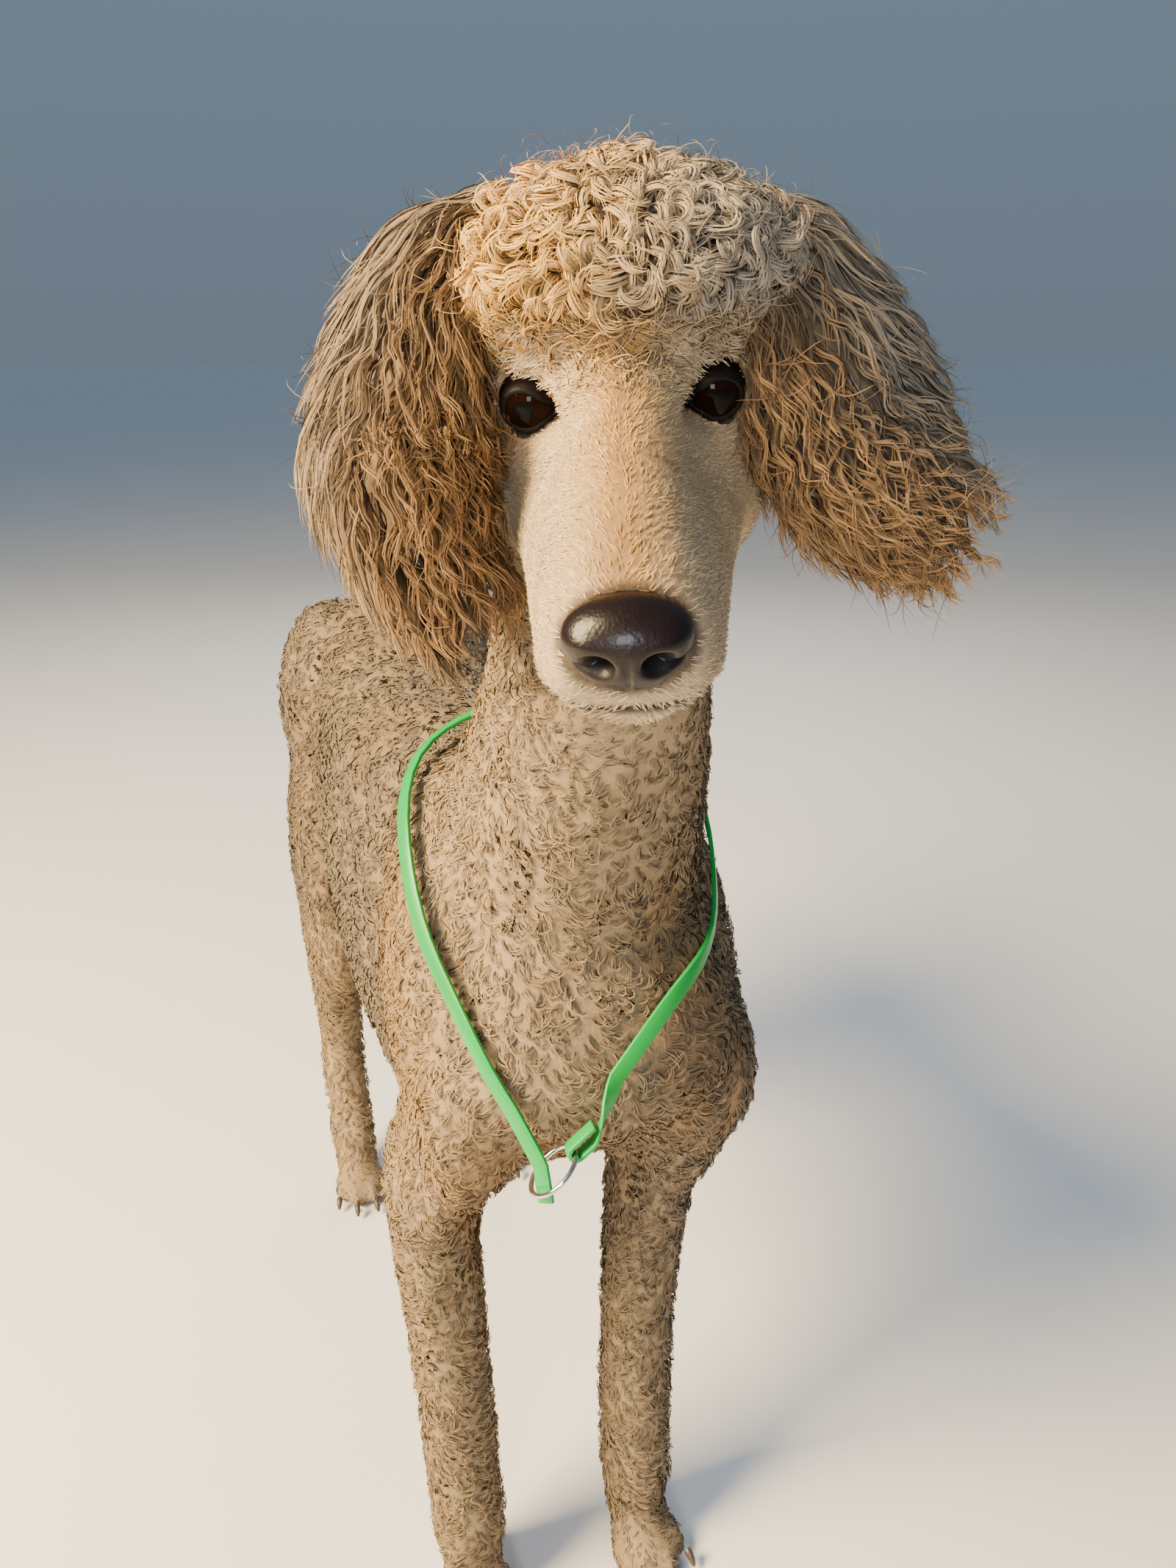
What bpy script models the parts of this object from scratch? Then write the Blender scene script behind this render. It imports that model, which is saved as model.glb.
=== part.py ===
"""Standard poodle in a short clip, standing, life size, in metres.

The dog faces -Y with +Z up, and its left side is +X. The ground is z = 0. The head turns to the dog's
right and looks down a little. Flesh nodes show the surface of the short coat. The curls of the topknot,
the long hair of the ears and the ball of the tail are locks and clumps set on their own nodes.
"""

import math
import random

import bmesh
import bpy
import numpy as np
from mathutils import Matrix, Vector
from mathutils.bvhtree import BVHTree

SEED = 7
GAP = 0.0003
SIDES = (("left", 1), ("right", -1))

# Heights and places on the ground, which the rest is drawn from.
WITHERS_HEIGHT = 0.648
FORE_FOOT_Y = -0.200
HIND_FOOT_Y = 0.262
FORE_FOOT_X = 0.064
HIND_FOOT_X = 0.076
CHEST_SWAY = 0.013

# The head's own frame is the body's frame moved to the point between the eyes and turned.
HEAD_PLACE = Vector((-0.0295, -0.3943, 0.8335))
HEAD_YAW = math.radians(-20.6)
HEAD_PITCH = math.radians(21.0)
HEAD_ROLL = math.radians(-4.0)

EYE_RADIUS = 0.0112
EYE_PLACE = Vector((0.0305, 0.0040, 0.0))
EYE_GAZE = math.radians(24.0)
LID_OPENING = (0.0104, 0.0084)
LID_ROUND = 0.0026

STRAP_WIDTH = 0.0088
STRAP_THICK = 0.0024
STRAP_CLEAR = 0.0006
RING_RADIUS = 0.0150
RING_WIRE = 0.0013
RING_PLACE = Vector((-0.0341, -0.3210, 0.4577))
# The hole of the ring faces down the strap that slides through it. The folded end holds its upper edge.
RING_FACING = Vector((0.640, -0.207, -0.815)).normalized()
RING_UPWARD = Vector((0.735, 0.019, 0.679))

CREAM = (0.60, 0.42, 0.27)
PALE_CREAM = (0.70, 0.52, 0.36)
APRICOT = (0.52, 0.33, 0.19)
NOSE_BROWN = (0.030, 0.020, 0.020)
EYE_BROWN = (0.030, 0.014, 0.008)
STRAP_GREEN = (0.010, 0.42, 0.09)
STEEL = (0.62, 0.62, 0.64)


def clear_scene():
    for thing in list(bpy.data.objects):
        bpy.data.objects.remove(thing)


def paint(thing, name, colour, roughness, metallic=0.0):
    """Gives the object a plain Principled material."""
    made = bpy.data.materials.get(name) or bpy.data.materials.new(name)
    made.use_nodes = True
    shader = made.node_tree.nodes["Principled BSDF"]
    shader.inputs["Base Color"].default_value = (*colour, 1.0)
    shader.inputs["Roughness"].default_value = roughness
    shader.inputs["Metallic"].default_value = metallic
    thing.data.materials.clear()
    thing.data.materials.append(made)


def object_of(name, bm, matrix=None):
    """Turns a bmesh into a linked object, moved by matrix, with its faces pointing out."""
    if matrix is not None:
        bmesh.ops.transform(bm, matrix=matrix, verts=bm.verts)
    bmesh.ops.recalc_face_normals(bm, faces=bm.faces)
    mesh = bpy.data.meshes.new(name)
    bm.to_mesh(mesh)
    bm.free()
    thing = bpy.data.objects.new(name, mesh)
    bpy.context.scene.collection.objects.link(thing)
    return thing


def evaluated_mesh(thing):
    """The object's mesh with its modifiers applied."""
    bpy.context.view_layer.update()
    graph = bpy.context.evaluated_depsgraph_get()
    return bpy.data.meshes.new_from_object(thing.evaluated_get(graph))


def apply_modifiers(thing):
    mesh = evaluated_mesh(thing)
    thing.modifiers.clear()
    thing.data = mesh


def copy_of(thing, name):
    made = bpy.data.objects.new(name, thing.data.copy())
    made.matrix_world = thing.matrix_world.copy()
    bpy.context.scene.collection.objects.link(made)
    return made


def between(before, one, two, after, t):
    """A row on the smooth way from one row to the next, at the share t of it."""
    bend = 2 * before - 5 * one + 4 * two - after
    twist = 3 * one - before - 3 * two + after
    return 0.5 * (2 * one + (two - before) * t + bend * t**2 + twist * t**3)


def spline(rows, count):
    """Smooth rows of numbers through the given rows, evenly spaced from the first to the last."""
    rows = np.array(rows, float)
    ends = np.vstack([2 * rows[0] - rows[1], rows, 2 * rows[-1] - rows[-2]])
    found = []
    for step in np.linspace(0, len(rows) - 1, count):
        at = min(int(step), len(rows) - 2)
        found.append(between(*ends[at : at + 4], step - at))
    return np.array(found)


def oval(half_width, half_height, square, egg, count):
    """Points of an oval. A higher square number makes it boxier, and egg makes its lower half wider."""
    points = []
    for i in range(count):
        angle = 2 * math.pi * (i + 0.5) / count
        c, s = math.cos(angle), math.sin(angle)
        x = half_width * math.copysign(abs(c) ** (2 / square), c) * (1 - egg * s)
        points.append((x, half_height * math.copysign(abs(s) ** (2 / square), s)))
    return points


def skinned(rings, poles):
    """A bmesh over rings of equal point counts, closed by a pole at each end."""
    bm = bmesh.new()
    rows = [[bm.verts.new(p) for p in ring] for ring in rings]
    count = len(rows[0])
    for one, two in zip(rows, rows[1:]):
        for i in range(count):
            j = (i + 1) % count
            bm.faces.new((one[i], one[j], two[j], two[i]))
    for row, pole in ((rows[0], poles[0]), (rows[-1], poles[1])):
        tip = bm.verts.new(pole)
        for i in range(count):
            bm.faces.new((row[i], row[(i + 1) % count], tip))
    return bm


def trunk_like(rows, samples, sides=28):
    """A body along Y: each row is y, top, bottom, half width, squareness, egg."""
    rings, centres = [], []
    for y, top, bottom, half_width, square, egg in spline(rows, samples):
        middle, half_height = (top + bottom) / 2, (top - bottom) / 2
        centres.append(Vector((0, y, middle)))
        rings.append(
            [Vector((x, y, middle + z)) for x, z in oval(half_width, half_height, square, egg, sides)]
        )
    ends = []
    for last, before in ((0, 1), (-1, -2)):
        ends.append(centres[last] + (centres[last] - centres[before]) * 0.6)
    return skinned(rings, ends)


def limb(rows, samples, sides=20):
    """A limb along its own line: each row is x, y, z, half width to the side, half depth."""
    left = Vector((1, 0, 0))
    smooth = spline(rows, samples)
    centres = [Vector(row[:3]) for row in smooth]
    rings = []
    for i, row in enumerate(smooth):
        ahead = centres[min(i + 1, len(centres) - 1)] - centres[max(i - 1, 0)]
        ahead.normalize()
        side = (left - ahead * left.dot(ahead)).normalized()
        front = ahead.cross(side)
        points = oval(row[3], row[4], 2.0, 0.0, sides)
        rings.append([centres[i] + side * x + front * z for x, z in points])
    first = centres[0] + (centres[0] - centres[1]).normalized() * smooth[0][4] * 0.45
    last = centres[-1] + (centres[-1] - centres[-2]).normalized() * smooth[-1][4] * 0.45
    return skinned(rings, (first, last))


def ellipsoid(place, radii, turn=(0.0, 0.0, 0.0), segments=20, rings=12):
    """A ball stretched to three radii, turned by degrees about X, Y and Z, and moved to its place."""
    bm = bmesh.new()
    bmesh.ops.create_uvsphere(bm, u_segments=segments, v_segments=rings, radius=1.0)
    turned = Matrix.Rotation(math.radians(turn[2]), 4, "Z")
    turned = turned @ Matrix.Rotation(math.radians(turn[1]), 4, "Y")
    turned = turned @ Matrix.Rotation(math.radians(turn[0]), 4, "X")
    matrix = Matrix.Translation(place) @ turned @ Matrix.Diagonal((*radii, 1.0))
    bmesh.ops.transform(bm, matrix=matrix, verts=bm.verts)
    return bm


def mirrored(point, side):
    return Vector((point[0] * side, point[1], point[2]))


def joined(name, parts, matrix=None):
    """One object that holds every bmesh of the list, which may overlap."""
    bm = bmesh.new()
    for part in parts:
        bmesh.ops.recalc_face_normals(part, faces=part.faces)
        mesh = bpy.data.meshes.new("part")
        part.to_mesh(mesh)
        part.free()
        bm.from_mesh(mesh)
        bpy.data.meshes.remove(mesh)
    if matrix is not None:
        bmesh.ops.transform(bm, matrix=matrix, verts=bm.verts)
    mesh = bpy.data.meshes.new(name)
    bm.to_mesh(mesh)
    bm.free()
    thing = bpy.data.objects.new(name, mesh)
    bpy.context.scene.collection.objects.link(thing)
    return thing


def fuse(thing, voxel, smoothing):
    """Fuses the overlapping shapes of an object into one soft skin."""
    remesh = thing.modifiers.new("remesh", "REMESH")
    remesh.mode = "VOXEL"
    remesh.voxel_size = voxel
    smooth = thing.modifiers.new("smooth", "SMOOTH")
    smooth.factor = 0.5
    smooth.iterations = smoothing
    apply_modifiers(thing)
    return keep_largest(thing)


def thin_out(thing, triangles):
    """Brings a triangulated object down to about that many triangles."""
    thin = thing.modifiers.new("decimate", "DECIMATE")
    thin.ratio = min(1.0, triangles / len(thing.data.polygons))
    thin.use_collapse_triangulate = True
    apply_modifiers(thing)
    return thing


def grown(thing, by=GAP):
    """A hidden copy of an object, a little larger on every side, to cut its neighbours clear of it."""
    made = copy_of(thing, thing.name + "_grown")
    swell = made.modifiers.new("swell", "DISPLACE")
    swell.mid_level = 0.0
    swell.strength = by
    apply_modifiers(made)
    made.hide_render = True
    made.display_type = "WIRE"
    return made


def cut_clear(thing, *others, by=GAP, solver="EXACT"):
    """Cuts an object clear of its neighbours, with the gap that touching pieces keep."""
    for other in others:
        cutter = grown(other, by)
        boolean(thing, cutter, "DIFFERENCE", solver)
        bpy.data.objects.remove(cutter)
    return keep_largest(thing)


def carve_out(thing, cutter_of, name):
    """Takes the part of an object inside a cutter out into an object of its own. Returns the new object."""
    inner, outer = cutter_of(0.0), cutter_of(GAP)
    taken = copy_of(thing, name)
    boolean(taken, inner, "INTERSECT")
    boolean(thing, outer, "DIFFERENCE")
    bpy.data.objects.remove(inner)
    bpy.data.objects.remove(outer)
    keep_largest(thing)
    return keep_largest(taken)


def boolean(thing, other, operation, solver="EXACT"):
    """Applies one Boolean with another object."""
    modifier = thing.modifiers.new(operation.lower(), "BOOLEAN")
    modifier.operation = operation
    modifier.solver = solver
    modifier.object = other
    apply_modifiers(thing)
    return thing


def union_all(name, pieces):
    """One closed body out of a list of closed objects, by one Boolean union on their collection."""
    base = pieces[0]
    base.name = name
    group = bpy.data.collections.new(name + "_pieces")
    bpy.context.scene.collection.children.link(group)
    for piece in pieces[1:]:
        bpy.context.scene.collection.objects.unlink(piece)
        group.objects.link(piece)
    modifier = base.modifiers.new("union", "BOOLEAN")
    modifier.operation = "UNION"
    modifier.operand_type = "COLLECTION"
    modifier.collection = group
    modifier.solver = "MANIFOLD"
    apply_modifiers(base)
    for piece in pieces[1:]:
        bpy.data.objects.remove(piece)
    bpy.data.collections.remove(group)
    keep_largest(base)
    return base


def keep_largest(thing):
    """Keeps the largest closed surface of an object."""
    bm = bmesh.new()
    bm.from_mesh(thing.data)
    left = set(bm.verts)
    shells = []
    while left:
        stack = [left.pop()]
        shell = list(stack)
        while stack:
            for edge in stack.pop().link_edges:
                for vert in edge.verts:
                    if vert in left:
                        left.remove(vert)
                        stack.append(vert)
                        shell.append(vert)
        shells.append(shell)
    shells.sort(key=len)
    for shell in shells[:-1]:
        bmesh.ops.delete(bm, geom=shell, context="VERTS")
    bmesh.ops.triangulate(bm, faces=bm.faces)
    bm.to_mesh(thing.data)
    bm.free()
    return thing


def keep_below(thing, point, normal):
    """Cuts an object by a plane, keeps what lies behind the plane's normal, and closes the cut."""
    bm = bmesh.new()
    bm.from_mesh(thing.data)
    everything = bm.verts[:] + bm.edges[:] + bm.faces[:]
    bmesh.ops.bisect_plane(bm, geom=everything, plane_co=point, plane_no=normal, clear_outer=True, dist=1e-6)
    rim = [edge for edge in bm.edges if edge.is_boundary]
    bmesh.ops.holes_fill(bm, edges=rim, sides=0)
    bmesh.ops.triangulate(bm, faces=bm.faces)
    bmesh.ops.recalc_face_normals(bm, faces=bm.faces)
    bm.to_mesh(thing.data)
    bm.free()
    return keep_largest(thing)


def part_in_two(thing, point, normal):
    """Parts an object by a thin cut. Returns the part behind the plane and the part in front of it."""
    point, normal = Vector(point), Vector(normal).normalized()
    front = copy_of(thing, thing.name + "_front")
    keep_below(thing, point - normal * GAP / 2, normal)
    keep_below(front, point + normal * GAP / 2, -normal)
    return thing, front


def block(name, low, high, turn=0.0, pivot=(0, 0, 0), grow=0.0):
    """A box between two corners, turned about X round a pivot by degrees, and grown on every side."""
    bm = bmesh.new()
    bmesh.ops.create_cube(bm, size=1.0)
    low, high = Vector(low) - Vector((grow,) * 3), Vector(high) + Vector((grow,) * 3)
    size = high - low
    matrix = Matrix.Translation((low + high) / 2) @ Matrix.Diagonal((*size, 1.0))
    spin = Matrix.Translation(pivot) @ Matrix.Rotation(math.radians(turn), 4, "X")
    spin = spin @ Matrix.Translation(-Vector(pivot))
    made = object_of(name, bm, spin @ matrix)
    made.hide_render = True
    made.display_type = "WIRE"
    return made


def head_matrix():
    turned = Matrix.Rotation(HEAD_YAW, 4, "Z") @ Matrix.Rotation(HEAD_PITCH, 4, "X")
    return Matrix.Translation(HEAD_PLACE) @ turned @ Matrix.Rotation(HEAD_ROLL, 4, "Y")


# Body.


def trunk():
    """Chest, loin and croup: y, top, bottom, half width, squareness, egg."""
    top = WITHERS_HEIGHT
    rows = (
        (-0.312, top - 0.158, 0.456, 0.044, 2.0, 0.0),
        (-0.292, top - 0.108, 0.434, 0.070, 2.0, 0.0),
        (-0.250, top - 0.056, 0.396, 0.088, 2.1, 0.05),
        (-0.200, top - 0.018, 0.358, 0.097, 2.2, 0.10),
        (-0.140, top - 0.002, 0.334, 0.101, 2.3, 0.12),
        (-0.060, top - 0.010, 0.332, 0.107, 2.3, 0.08),
        (0.020, top - 0.018, 0.352, 0.107, 2.3, 0.02),
        (0.100, top - 0.014, 0.388, 0.098, 2.3, -0.02),
        (0.165, top + 0.004, 0.412, 0.088, 2.3, -0.04),
        (0.225, top + 0.010, 0.424, 0.088, 2.2, -0.02),
        (0.280, top - 0.006, 0.432, 0.086, 2.1, 0.0),
        (0.325, top - 0.050, 0.450, 0.070, 2.0, 0.0),
        (0.345, top - 0.090, 0.476, 0.042, 2.0, 0.0),
    )
    return trunk_like(rows, 40)


def neck():
    """Neck from between the shoulders to the skull: x, y, z, half width, half depth."""
    rows = (
        (0.000, -0.155, 0.490, 0.090, 0.112),
        (0.001, -0.192, 0.565, 0.084, 0.096),
        (0.002, -0.230, 0.635, 0.070, 0.079),
        (0.004, -0.266, 0.705, 0.058, 0.066),
        (0.001, -0.299, 0.770, 0.051, 0.057),
        (-0.004, -0.327, 0.830, 0.047, 0.050),
    )
    return limb(rows, 16, sides=24)


def shoulder(side):
    """Shoulder blade, point of the shoulder and upper arm."""
    blade = ellipsoid(mirrored((0.070, -0.185, 0.520), side), (0.042, 0.062, 0.120), (-22, -8 * side, 0))
    point = ellipsoid(mirrored((0.072, -0.240, 0.440), side), (0.038, 0.050, 0.068), (10, 0, 0))
    arm = ellipsoid(mirrored((0.079, -0.206, 0.385), side), (0.037, 0.054, 0.084), (28, 0, 0))
    elbow = ellipsoid(mirrored((0.076, -0.178, 0.342), side), (0.031, 0.040, 0.048))
    return [blade, point, arm, elbow]


def foreleg(side):
    """Forearm, wrist and pastern: x, y, z, half width, half depth."""
    x, y = FORE_FOOT_X, FORE_FOOT_Y
    rows = [
        (x + 0.012, y + 0.000, 0.380, 0.034, 0.046),
        (x + 0.010, y + 0.008, 0.325, 0.034, 0.043),
        (x + 0.007, y + 0.012, 0.265, 0.033, 0.037),
        (x + 0.004, y + 0.010, 0.200, 0.032, 0.034),
        (x + 0.002, y + 0.006, 0.145, 0.032, 0.033),
        (x + 0.001, y + 0.004, 0.100, 0.032, 0.033),
        (x, y - 0.004, 0.060, 0.032, 0.034),
        (x, y - 0.010, 0.040, 0.029, 0.031),
    ]
    return limb([(r[0] * side, *r[1:]) for r in rows], 18)


def hindquarter(side):
    """Croup, thigh, knee and the fold of the flank."""
    hip = ellipsoid(mirrored((0.058, 0.252, 0.542), side), (0.056, 0.090, 0.104), (12, 0, 0))
    thigh = ellipsoid(mirrored((0.073, 0.234, 0.430), side), (0.046, 0.084, 0.130), (-6, -4 * side, 0))
    knee = ellipsoid(mirrored((0.078, 0.212, 0.350), side), (0.037, 0.056, 0.084), (-16, 0, 0))
    flank = ellipsoid(mirrored((0.050, 0.150, 0.462), side), (0.036, 0.070, 0.066), (-34, 0, 0))
    return [hip, thigh, knee, flank]


def hindleg(side):
    """Lower thigh, hock and rear pastern: x, y, z, half width, half depth."""
    x, y = HIND_FOOT_X, HIND_FOOT_Y
    rows = [
        (x + 0.003, y - 0.034, 0.400, 0.038, 0.066),
        (x + 0.003, y - 0.030, 0.340, 0.037, 0.060),
        (x + 0.002, y - 0.002, 0.280, 0.034, 0.049),
        (x + 0.001, y + 0.030, 0.225, 0.031, 0.039),
        (x - 0.001, y + 0.050, 0.175, 0.029, 0.035),
        (x, y + 0.046, 0.125, 0.029, 0.031),
        (x, y + 0.026, 0.080, 0.029, 0.031),
        (x, y + 0.006, 0.050, 0.030, 0.032),
        (x, y - 0.008, 0.036, 0.027, 0.030),
    ]
    return limb([(r[0] * side, *r[1:]) for r in rows], 20)


TOES = ((-0.0215, -0.010, -12), (-0.0085, -0.026, -4), (0.0085, -0.026, 4), (0.0215, -0.010, 12))
TOE_RADII = (0.0098, 0.0235, 0.0165)
TOE_HEIGHT = 0.0135
CLAW_LENGTH = 0.013


def paw(x, y):
    """Small oval foot: a rounded middle, four arched toes and the pad behind them."""
    shapes = [
        ellipsoid((x, y - 0.006, 0.028), (0.0255, 0.034, 0.026)),
        ellipsoid((x, y + 0.010, 0.010), (0.0215, 0.022, 0.014)),
    ]
    for across, ahead, turn in TOES:
        place = (x + across, y + ahead - 0.016, TOE_HEIGHT)
        shapes.append(ellipsoid(place, TOE_RADII, (10, 0, turn), 12, 8))
    return shapes


def claw(name, x, y, toe):
    """A short blunt claw at the end of one toe, bent to the ground."""
    across, ahead, turn = toe
    direction = Vector((math.sin(math.radians(turn)), -math.cos(math.radians(turn)), 0))
    root = Vector((x + across, y + ahead - 0.016, TOE_HEIGHT + 0.001)) + direction * (TOE_RADII[1] - 0.002)
    rings = []
    for share, size in ((0.0, 0.0033), (0.5, 0.0027)):
        centre = root + direction * CLAW_LENGTH * share + Vector((0, 0, -0.005 * share**1.6))
        side = direction.cross(Vector((0, 0, 1)))
        points = oval(size, size * 1.25, 2.0, 0.0, 6)
        rings.append([centre + side * a + Vector((0, 0, b)) for a, b in points])
    tip = root + direction * CLAW_LENGTH * 0.95 + Vector((0, 0, -0.0065))
    made = object_of(name, skinned(rings, (root - direction * 0.0005, tip)))
    return made


TAIL_ROOT = Vector((0.0, 0.350, 0.640))
TAIL_TIP = Vector((0.004, 0.398, 0.780))


def tail_bone():
    """The clipped root of the tail, carried up: x, y, z, half width, half depth."""
    rows = (
        (0.000, 0.285, 0.570, 0.034, 0.034),
        (0.000, 0.330, 0.608, 0.026, 0.026),
        (0.001, 0.362, 0.662, 0.019, 0.020),
        (0.003, 0.384, 0.722, 0.016, 0.017),
        (0.004, 0.396, 0.770, 0.014, 0.015),
    )
    return limb(rows, 12, sides=16)


# Head, in its own frame: X to the dog's left, -Y forward, Z up, the point between the eyes at the origin.


def skull():
    """Skull and muzzle: y, top, bottom, half width, squareness, egg."""
    rows = (
        (-0.1130, -0.0140, -0.0500, 0.0210, 2.2, 0.10),
        (-0.1040, -0.0070, -0.0540, 0.0265, 2.3, 0.16),
        (-0.0880, -0.0010, -0.0570, 0.0290, 2.4, 0.22),
        (-0.0680, 0.0050, -0.0600, 0.0300, 2.4, 0.26),
        (-0.0440, 0.0100, -0.0640, 0.0310, 2.4, 0.28),
        (-0.0220, 0.0160, -0.0690, 0.0325, 2.4, 0.30),
        (-0.0060, 0.0240, -0.0730, 0.0365, 2.3, 0.24),
        (0.0100, 0.0330, -0.0750, 0.0430, 2.2, 0.14),
        (0.0320, 0.0405, -0.0760, 0.0505, 2.2, 0.02),
        (0.0600, 0.0430, -0.0720, 0.0520, 2.1, -0.02),
        (0.0900, 0.0370, -0.0560, 0.0440, 2.0, 0.0),
        (0.1130, 0.0230, -0.0300, 0.0270, 2.0, 0.0),
    )
    return trunk_like(rows, 44, sides=36)


def face_forms(side):
    """The round of the eye's orbit, brow, cheekbone, the muscle of the jaw and the full upper lip."""
    eye_centre = mirrored(EYE_PLACE, side)
    orbit = ellipsoid(eye_centre - gaze(side) * 0.0042, (0.0152, 0.0145, 0.0142))
    brow = ellipsoid(mirrored((0.0280, 0.0085, 0.0130), side), (0.0150, 0.0120, 0.0085), (0, 0, 20 * side))
    cheekbone = ellipsoid(
        mirrored((0.0395, 0.0200, -0.0160), side), (0.0105, 0.0280, 0.0110), (0, 0, -14 * side)
    )
    jaw = ellipsoid(mirrored((0.0345, 0.0300, -0.0450), side), (0.0155, 0.0370, 0.0290))
    lip = ellipsoid(mirrored((0.0160, -0.0860, -0.0380), side), (0.0145, 0.0270, 0.0135), (0, 0, 6 * side))
    return [orbit, brow, cheekbone, jaw, lip]


def chin():
    return ellipsoid((0, -0.0900, -0.0510), (0.0165, 0.0210, 0.0110))


def throat():
    """Underside of the head where it meets the neck: x, y, z, half width, half depth."""
    rows = (
        (0.0, 0.020, -0.045, 0.040, 0.032),
        (0.0, 0.055, -0.050, 0.045, 0.045),
        (0.0, 0.090, -0.060, 0.048, 0.055),
    )
    return limb(rows, 6, sides=20)


def gaze(side):
    """The direction one eye looks in, in the head's frame."""
    return Vector((math.sin(EYE_GAZE) * side, -math.cos(EYE_GAZE), 0.02)).normalized()


def lids(side):
    """The rim of both lids round one eye."""
    look = gaze(side)
    across = look.cross(Vector((0, 0, 1))).normalized()
    up = across.cross(look)
    centre = mirrored(EYE_PLACE, side) + look * EYE_RADIUS * 0.52
    bm = bmesh.new()
    rings = []
    steps, around = 18, 6
    for i in range(steps):
        angle = 2 * math.pi * i / steps
        out = across * math.cos(angle) * LID_OPENING[0] + up * math.sin(angle) * LID_OPENING[1]
        bent = look * (-0.0032 * math.cos(angle) ** 2)
        radial = out.normalized()
        rings.append(
            [
                bm.verts.new(
                    centre
                    + out
                    + bent
                    + (radial * math.cos(turn) + look * math.sin(turn)) * LID_ROUND
                )
                for turn in (2 * math.pi * j / around for j in range(around))
            ]
        )
    for i in range(steps):
        one, two = rings[i], rings[(i + 1) % steps]
        for j in range(around):
            k = (j + 1) % around
            bm.faces.new((one[j], one[k], two[k], two[j]))
    return bm


def eye(name, side):
    """Eyeball, with the clear cornea a little proud of it."""
    ball = ellipsoid(mirrored(EYE_PLACE, side), (EYE_RADIUS,) * 3, segments=14, rings=9)
    return object_of(name, ball, head_matrix())


NOSE_PLACE = Vector((0.0, -0.1085, -0.0225))
NOSE_HALF = (0.0183, 0.0130, 0.0140)


def nose_pad():
    """The leather of the nose, widest above its middle and narrower at the lip."""
    pad = ellipsoid(NOSE_PLACE, NOSE_HALF, (-12, 0, 0), 12, 8)
    for vert in pad.verts:
        share = (vert.co.z - NOSE_PLACE.z) / NOSE_HALF[2]
        vert.co.x *= 1.0 + 0.16 * max(-1.0, min(1.0, share))
    return object_of("nose", pad, head_matrix())


def cut_nostrils(pad):
    """Two forward nostrils, each with the slit that runs back from it."""
    for side in (1, -1):
        hole = (NOSE_PLACE + Vector((0.0088 * side, -0.0100, -0.0015)), (0.0040, 0.0070, 0.0030), 24)
        slit = (NOSE_PLACE + Vector((0.0145 * side, -0.0070, -0.0050)), (0.0052, 0.0060, 0.0014), 20)
        for place, radii, turn in (hole, slit):
            cutter = object_of("nostril", ellipsoid(place, radii, (0, turn * side, 0), 8, 5), head_matrix())
            boolean(pad, cutter, "DIFFERENCE")
            bpy.data.objects.remove(cutter)
    keep_largest(pad)


def mouth_cutter(grow):
    """The space that the lower jaw takes: everything below the line of the lips, as a prism across X."""
    line = ((-0.130, -0.0445), (-0.095, -0.0455), (-0.060, -0.0480), (-0.030, -0.0500), (-0.012, -0.0485))
    points = [(y + (grow if i == len(line) - 1 else 0), z + grow) for i, (y, z) in enumerate(line)]
    points += [(-0.012 + grow, -0.110), (-0.130, -0.110)]
    bm = bmesh.new()
    for x in (-0.06, 0.06):
        bm.faces.new([bm.verts.new((x, y, z)) for y, z in points])
    bm.verts.ensure_lookup_table()
    count = len(points)
    for i in range(count):
        j = (i + 1) % count
        bm.faces.new([bm.verts[k] for k in (i, j, j + count, i + count)])
    cutter = object_of("jaw_cutter", bm, head_matrix())
    cutter.hide_render = True
    return cutter


# Curls and locks.

# Rings of a curl from root to top: share of its length, share of its width, bend to the side.
CURL_RINGS = ((0.30, 0.92, 0.00), (0.80, 0.84, 0.08))
CURL_TOP_BEND = 0.20


def even_directions(count):
    """Directions spread evenly over a ball."""
    golden = math.pi * (3 - math.sqrt(5))
    for i in range(count):
        z = 1 - 2 * (i + 0.5) / count
        reach = math.sqrt(1 - z * z)
        yield Vector((reach * math.cos(golden * i), reach * math.sin(golden * i), z))


def curl(root, top, width, random_source, sides=5):
    """A rounded clump of curled hair, fullest above its middle, with its top bent over to one side."""
    out = top - root
    turned = Matrix.Rotation(random_source.uniform(0, 2 * math.pi), 3, out.normalized())
    side = turned @ out.orthogonal().normalized()
    other = out.normalized().cross(side)
    length = out.length
    rings = []
    for share, wide, bend in CURL_RINGS:
        centre = root + out * share + side * length * bend
        points = oval(width / 2 * wide, width / 2 * wide * 0.9, 2.0, 0.0, sides)
        rings.append([centre + side * a + other * b for a, b in points])
    return skinned(rings, (root - out * 0.1, top + side * length * CURL_TOP_BEND))


def lock(places, outs, widths, thick):
    """A flat tapered lock along a row of places. It is broad across them and thin along outs."""
    rings = []
    for i in range(len(places) - 1):
        along = (places[i + 1] - places[max(i - 1, 0)]).normalized()
        across = along.cross(outs[i]).normalized() * widths[i] / 2
        up = outs[i] * thick / 2 * widths[i] / widths[1]
        rings.append([places[i] - across, places[i] + up, places[i] + across, places[i] - up])
    start = places[0] + (places[0] - places[1]) * 0.25
    return skinned(rings, (start, places[-1]))


def shrink_to(thing, tree, share):
    """Draws a surface in towards the one under it, down to a share of its height above it."""
    for vert in thing.data.vertices:
        base, normal, _, _ = tree.find_nearest(vert.co)
        if (vert.co - base).dot(normal) > 0:
            vert.co = base + (vert.co - base) * share


# Ears: a thin leather with a cup, under tiers of long locks.

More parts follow.
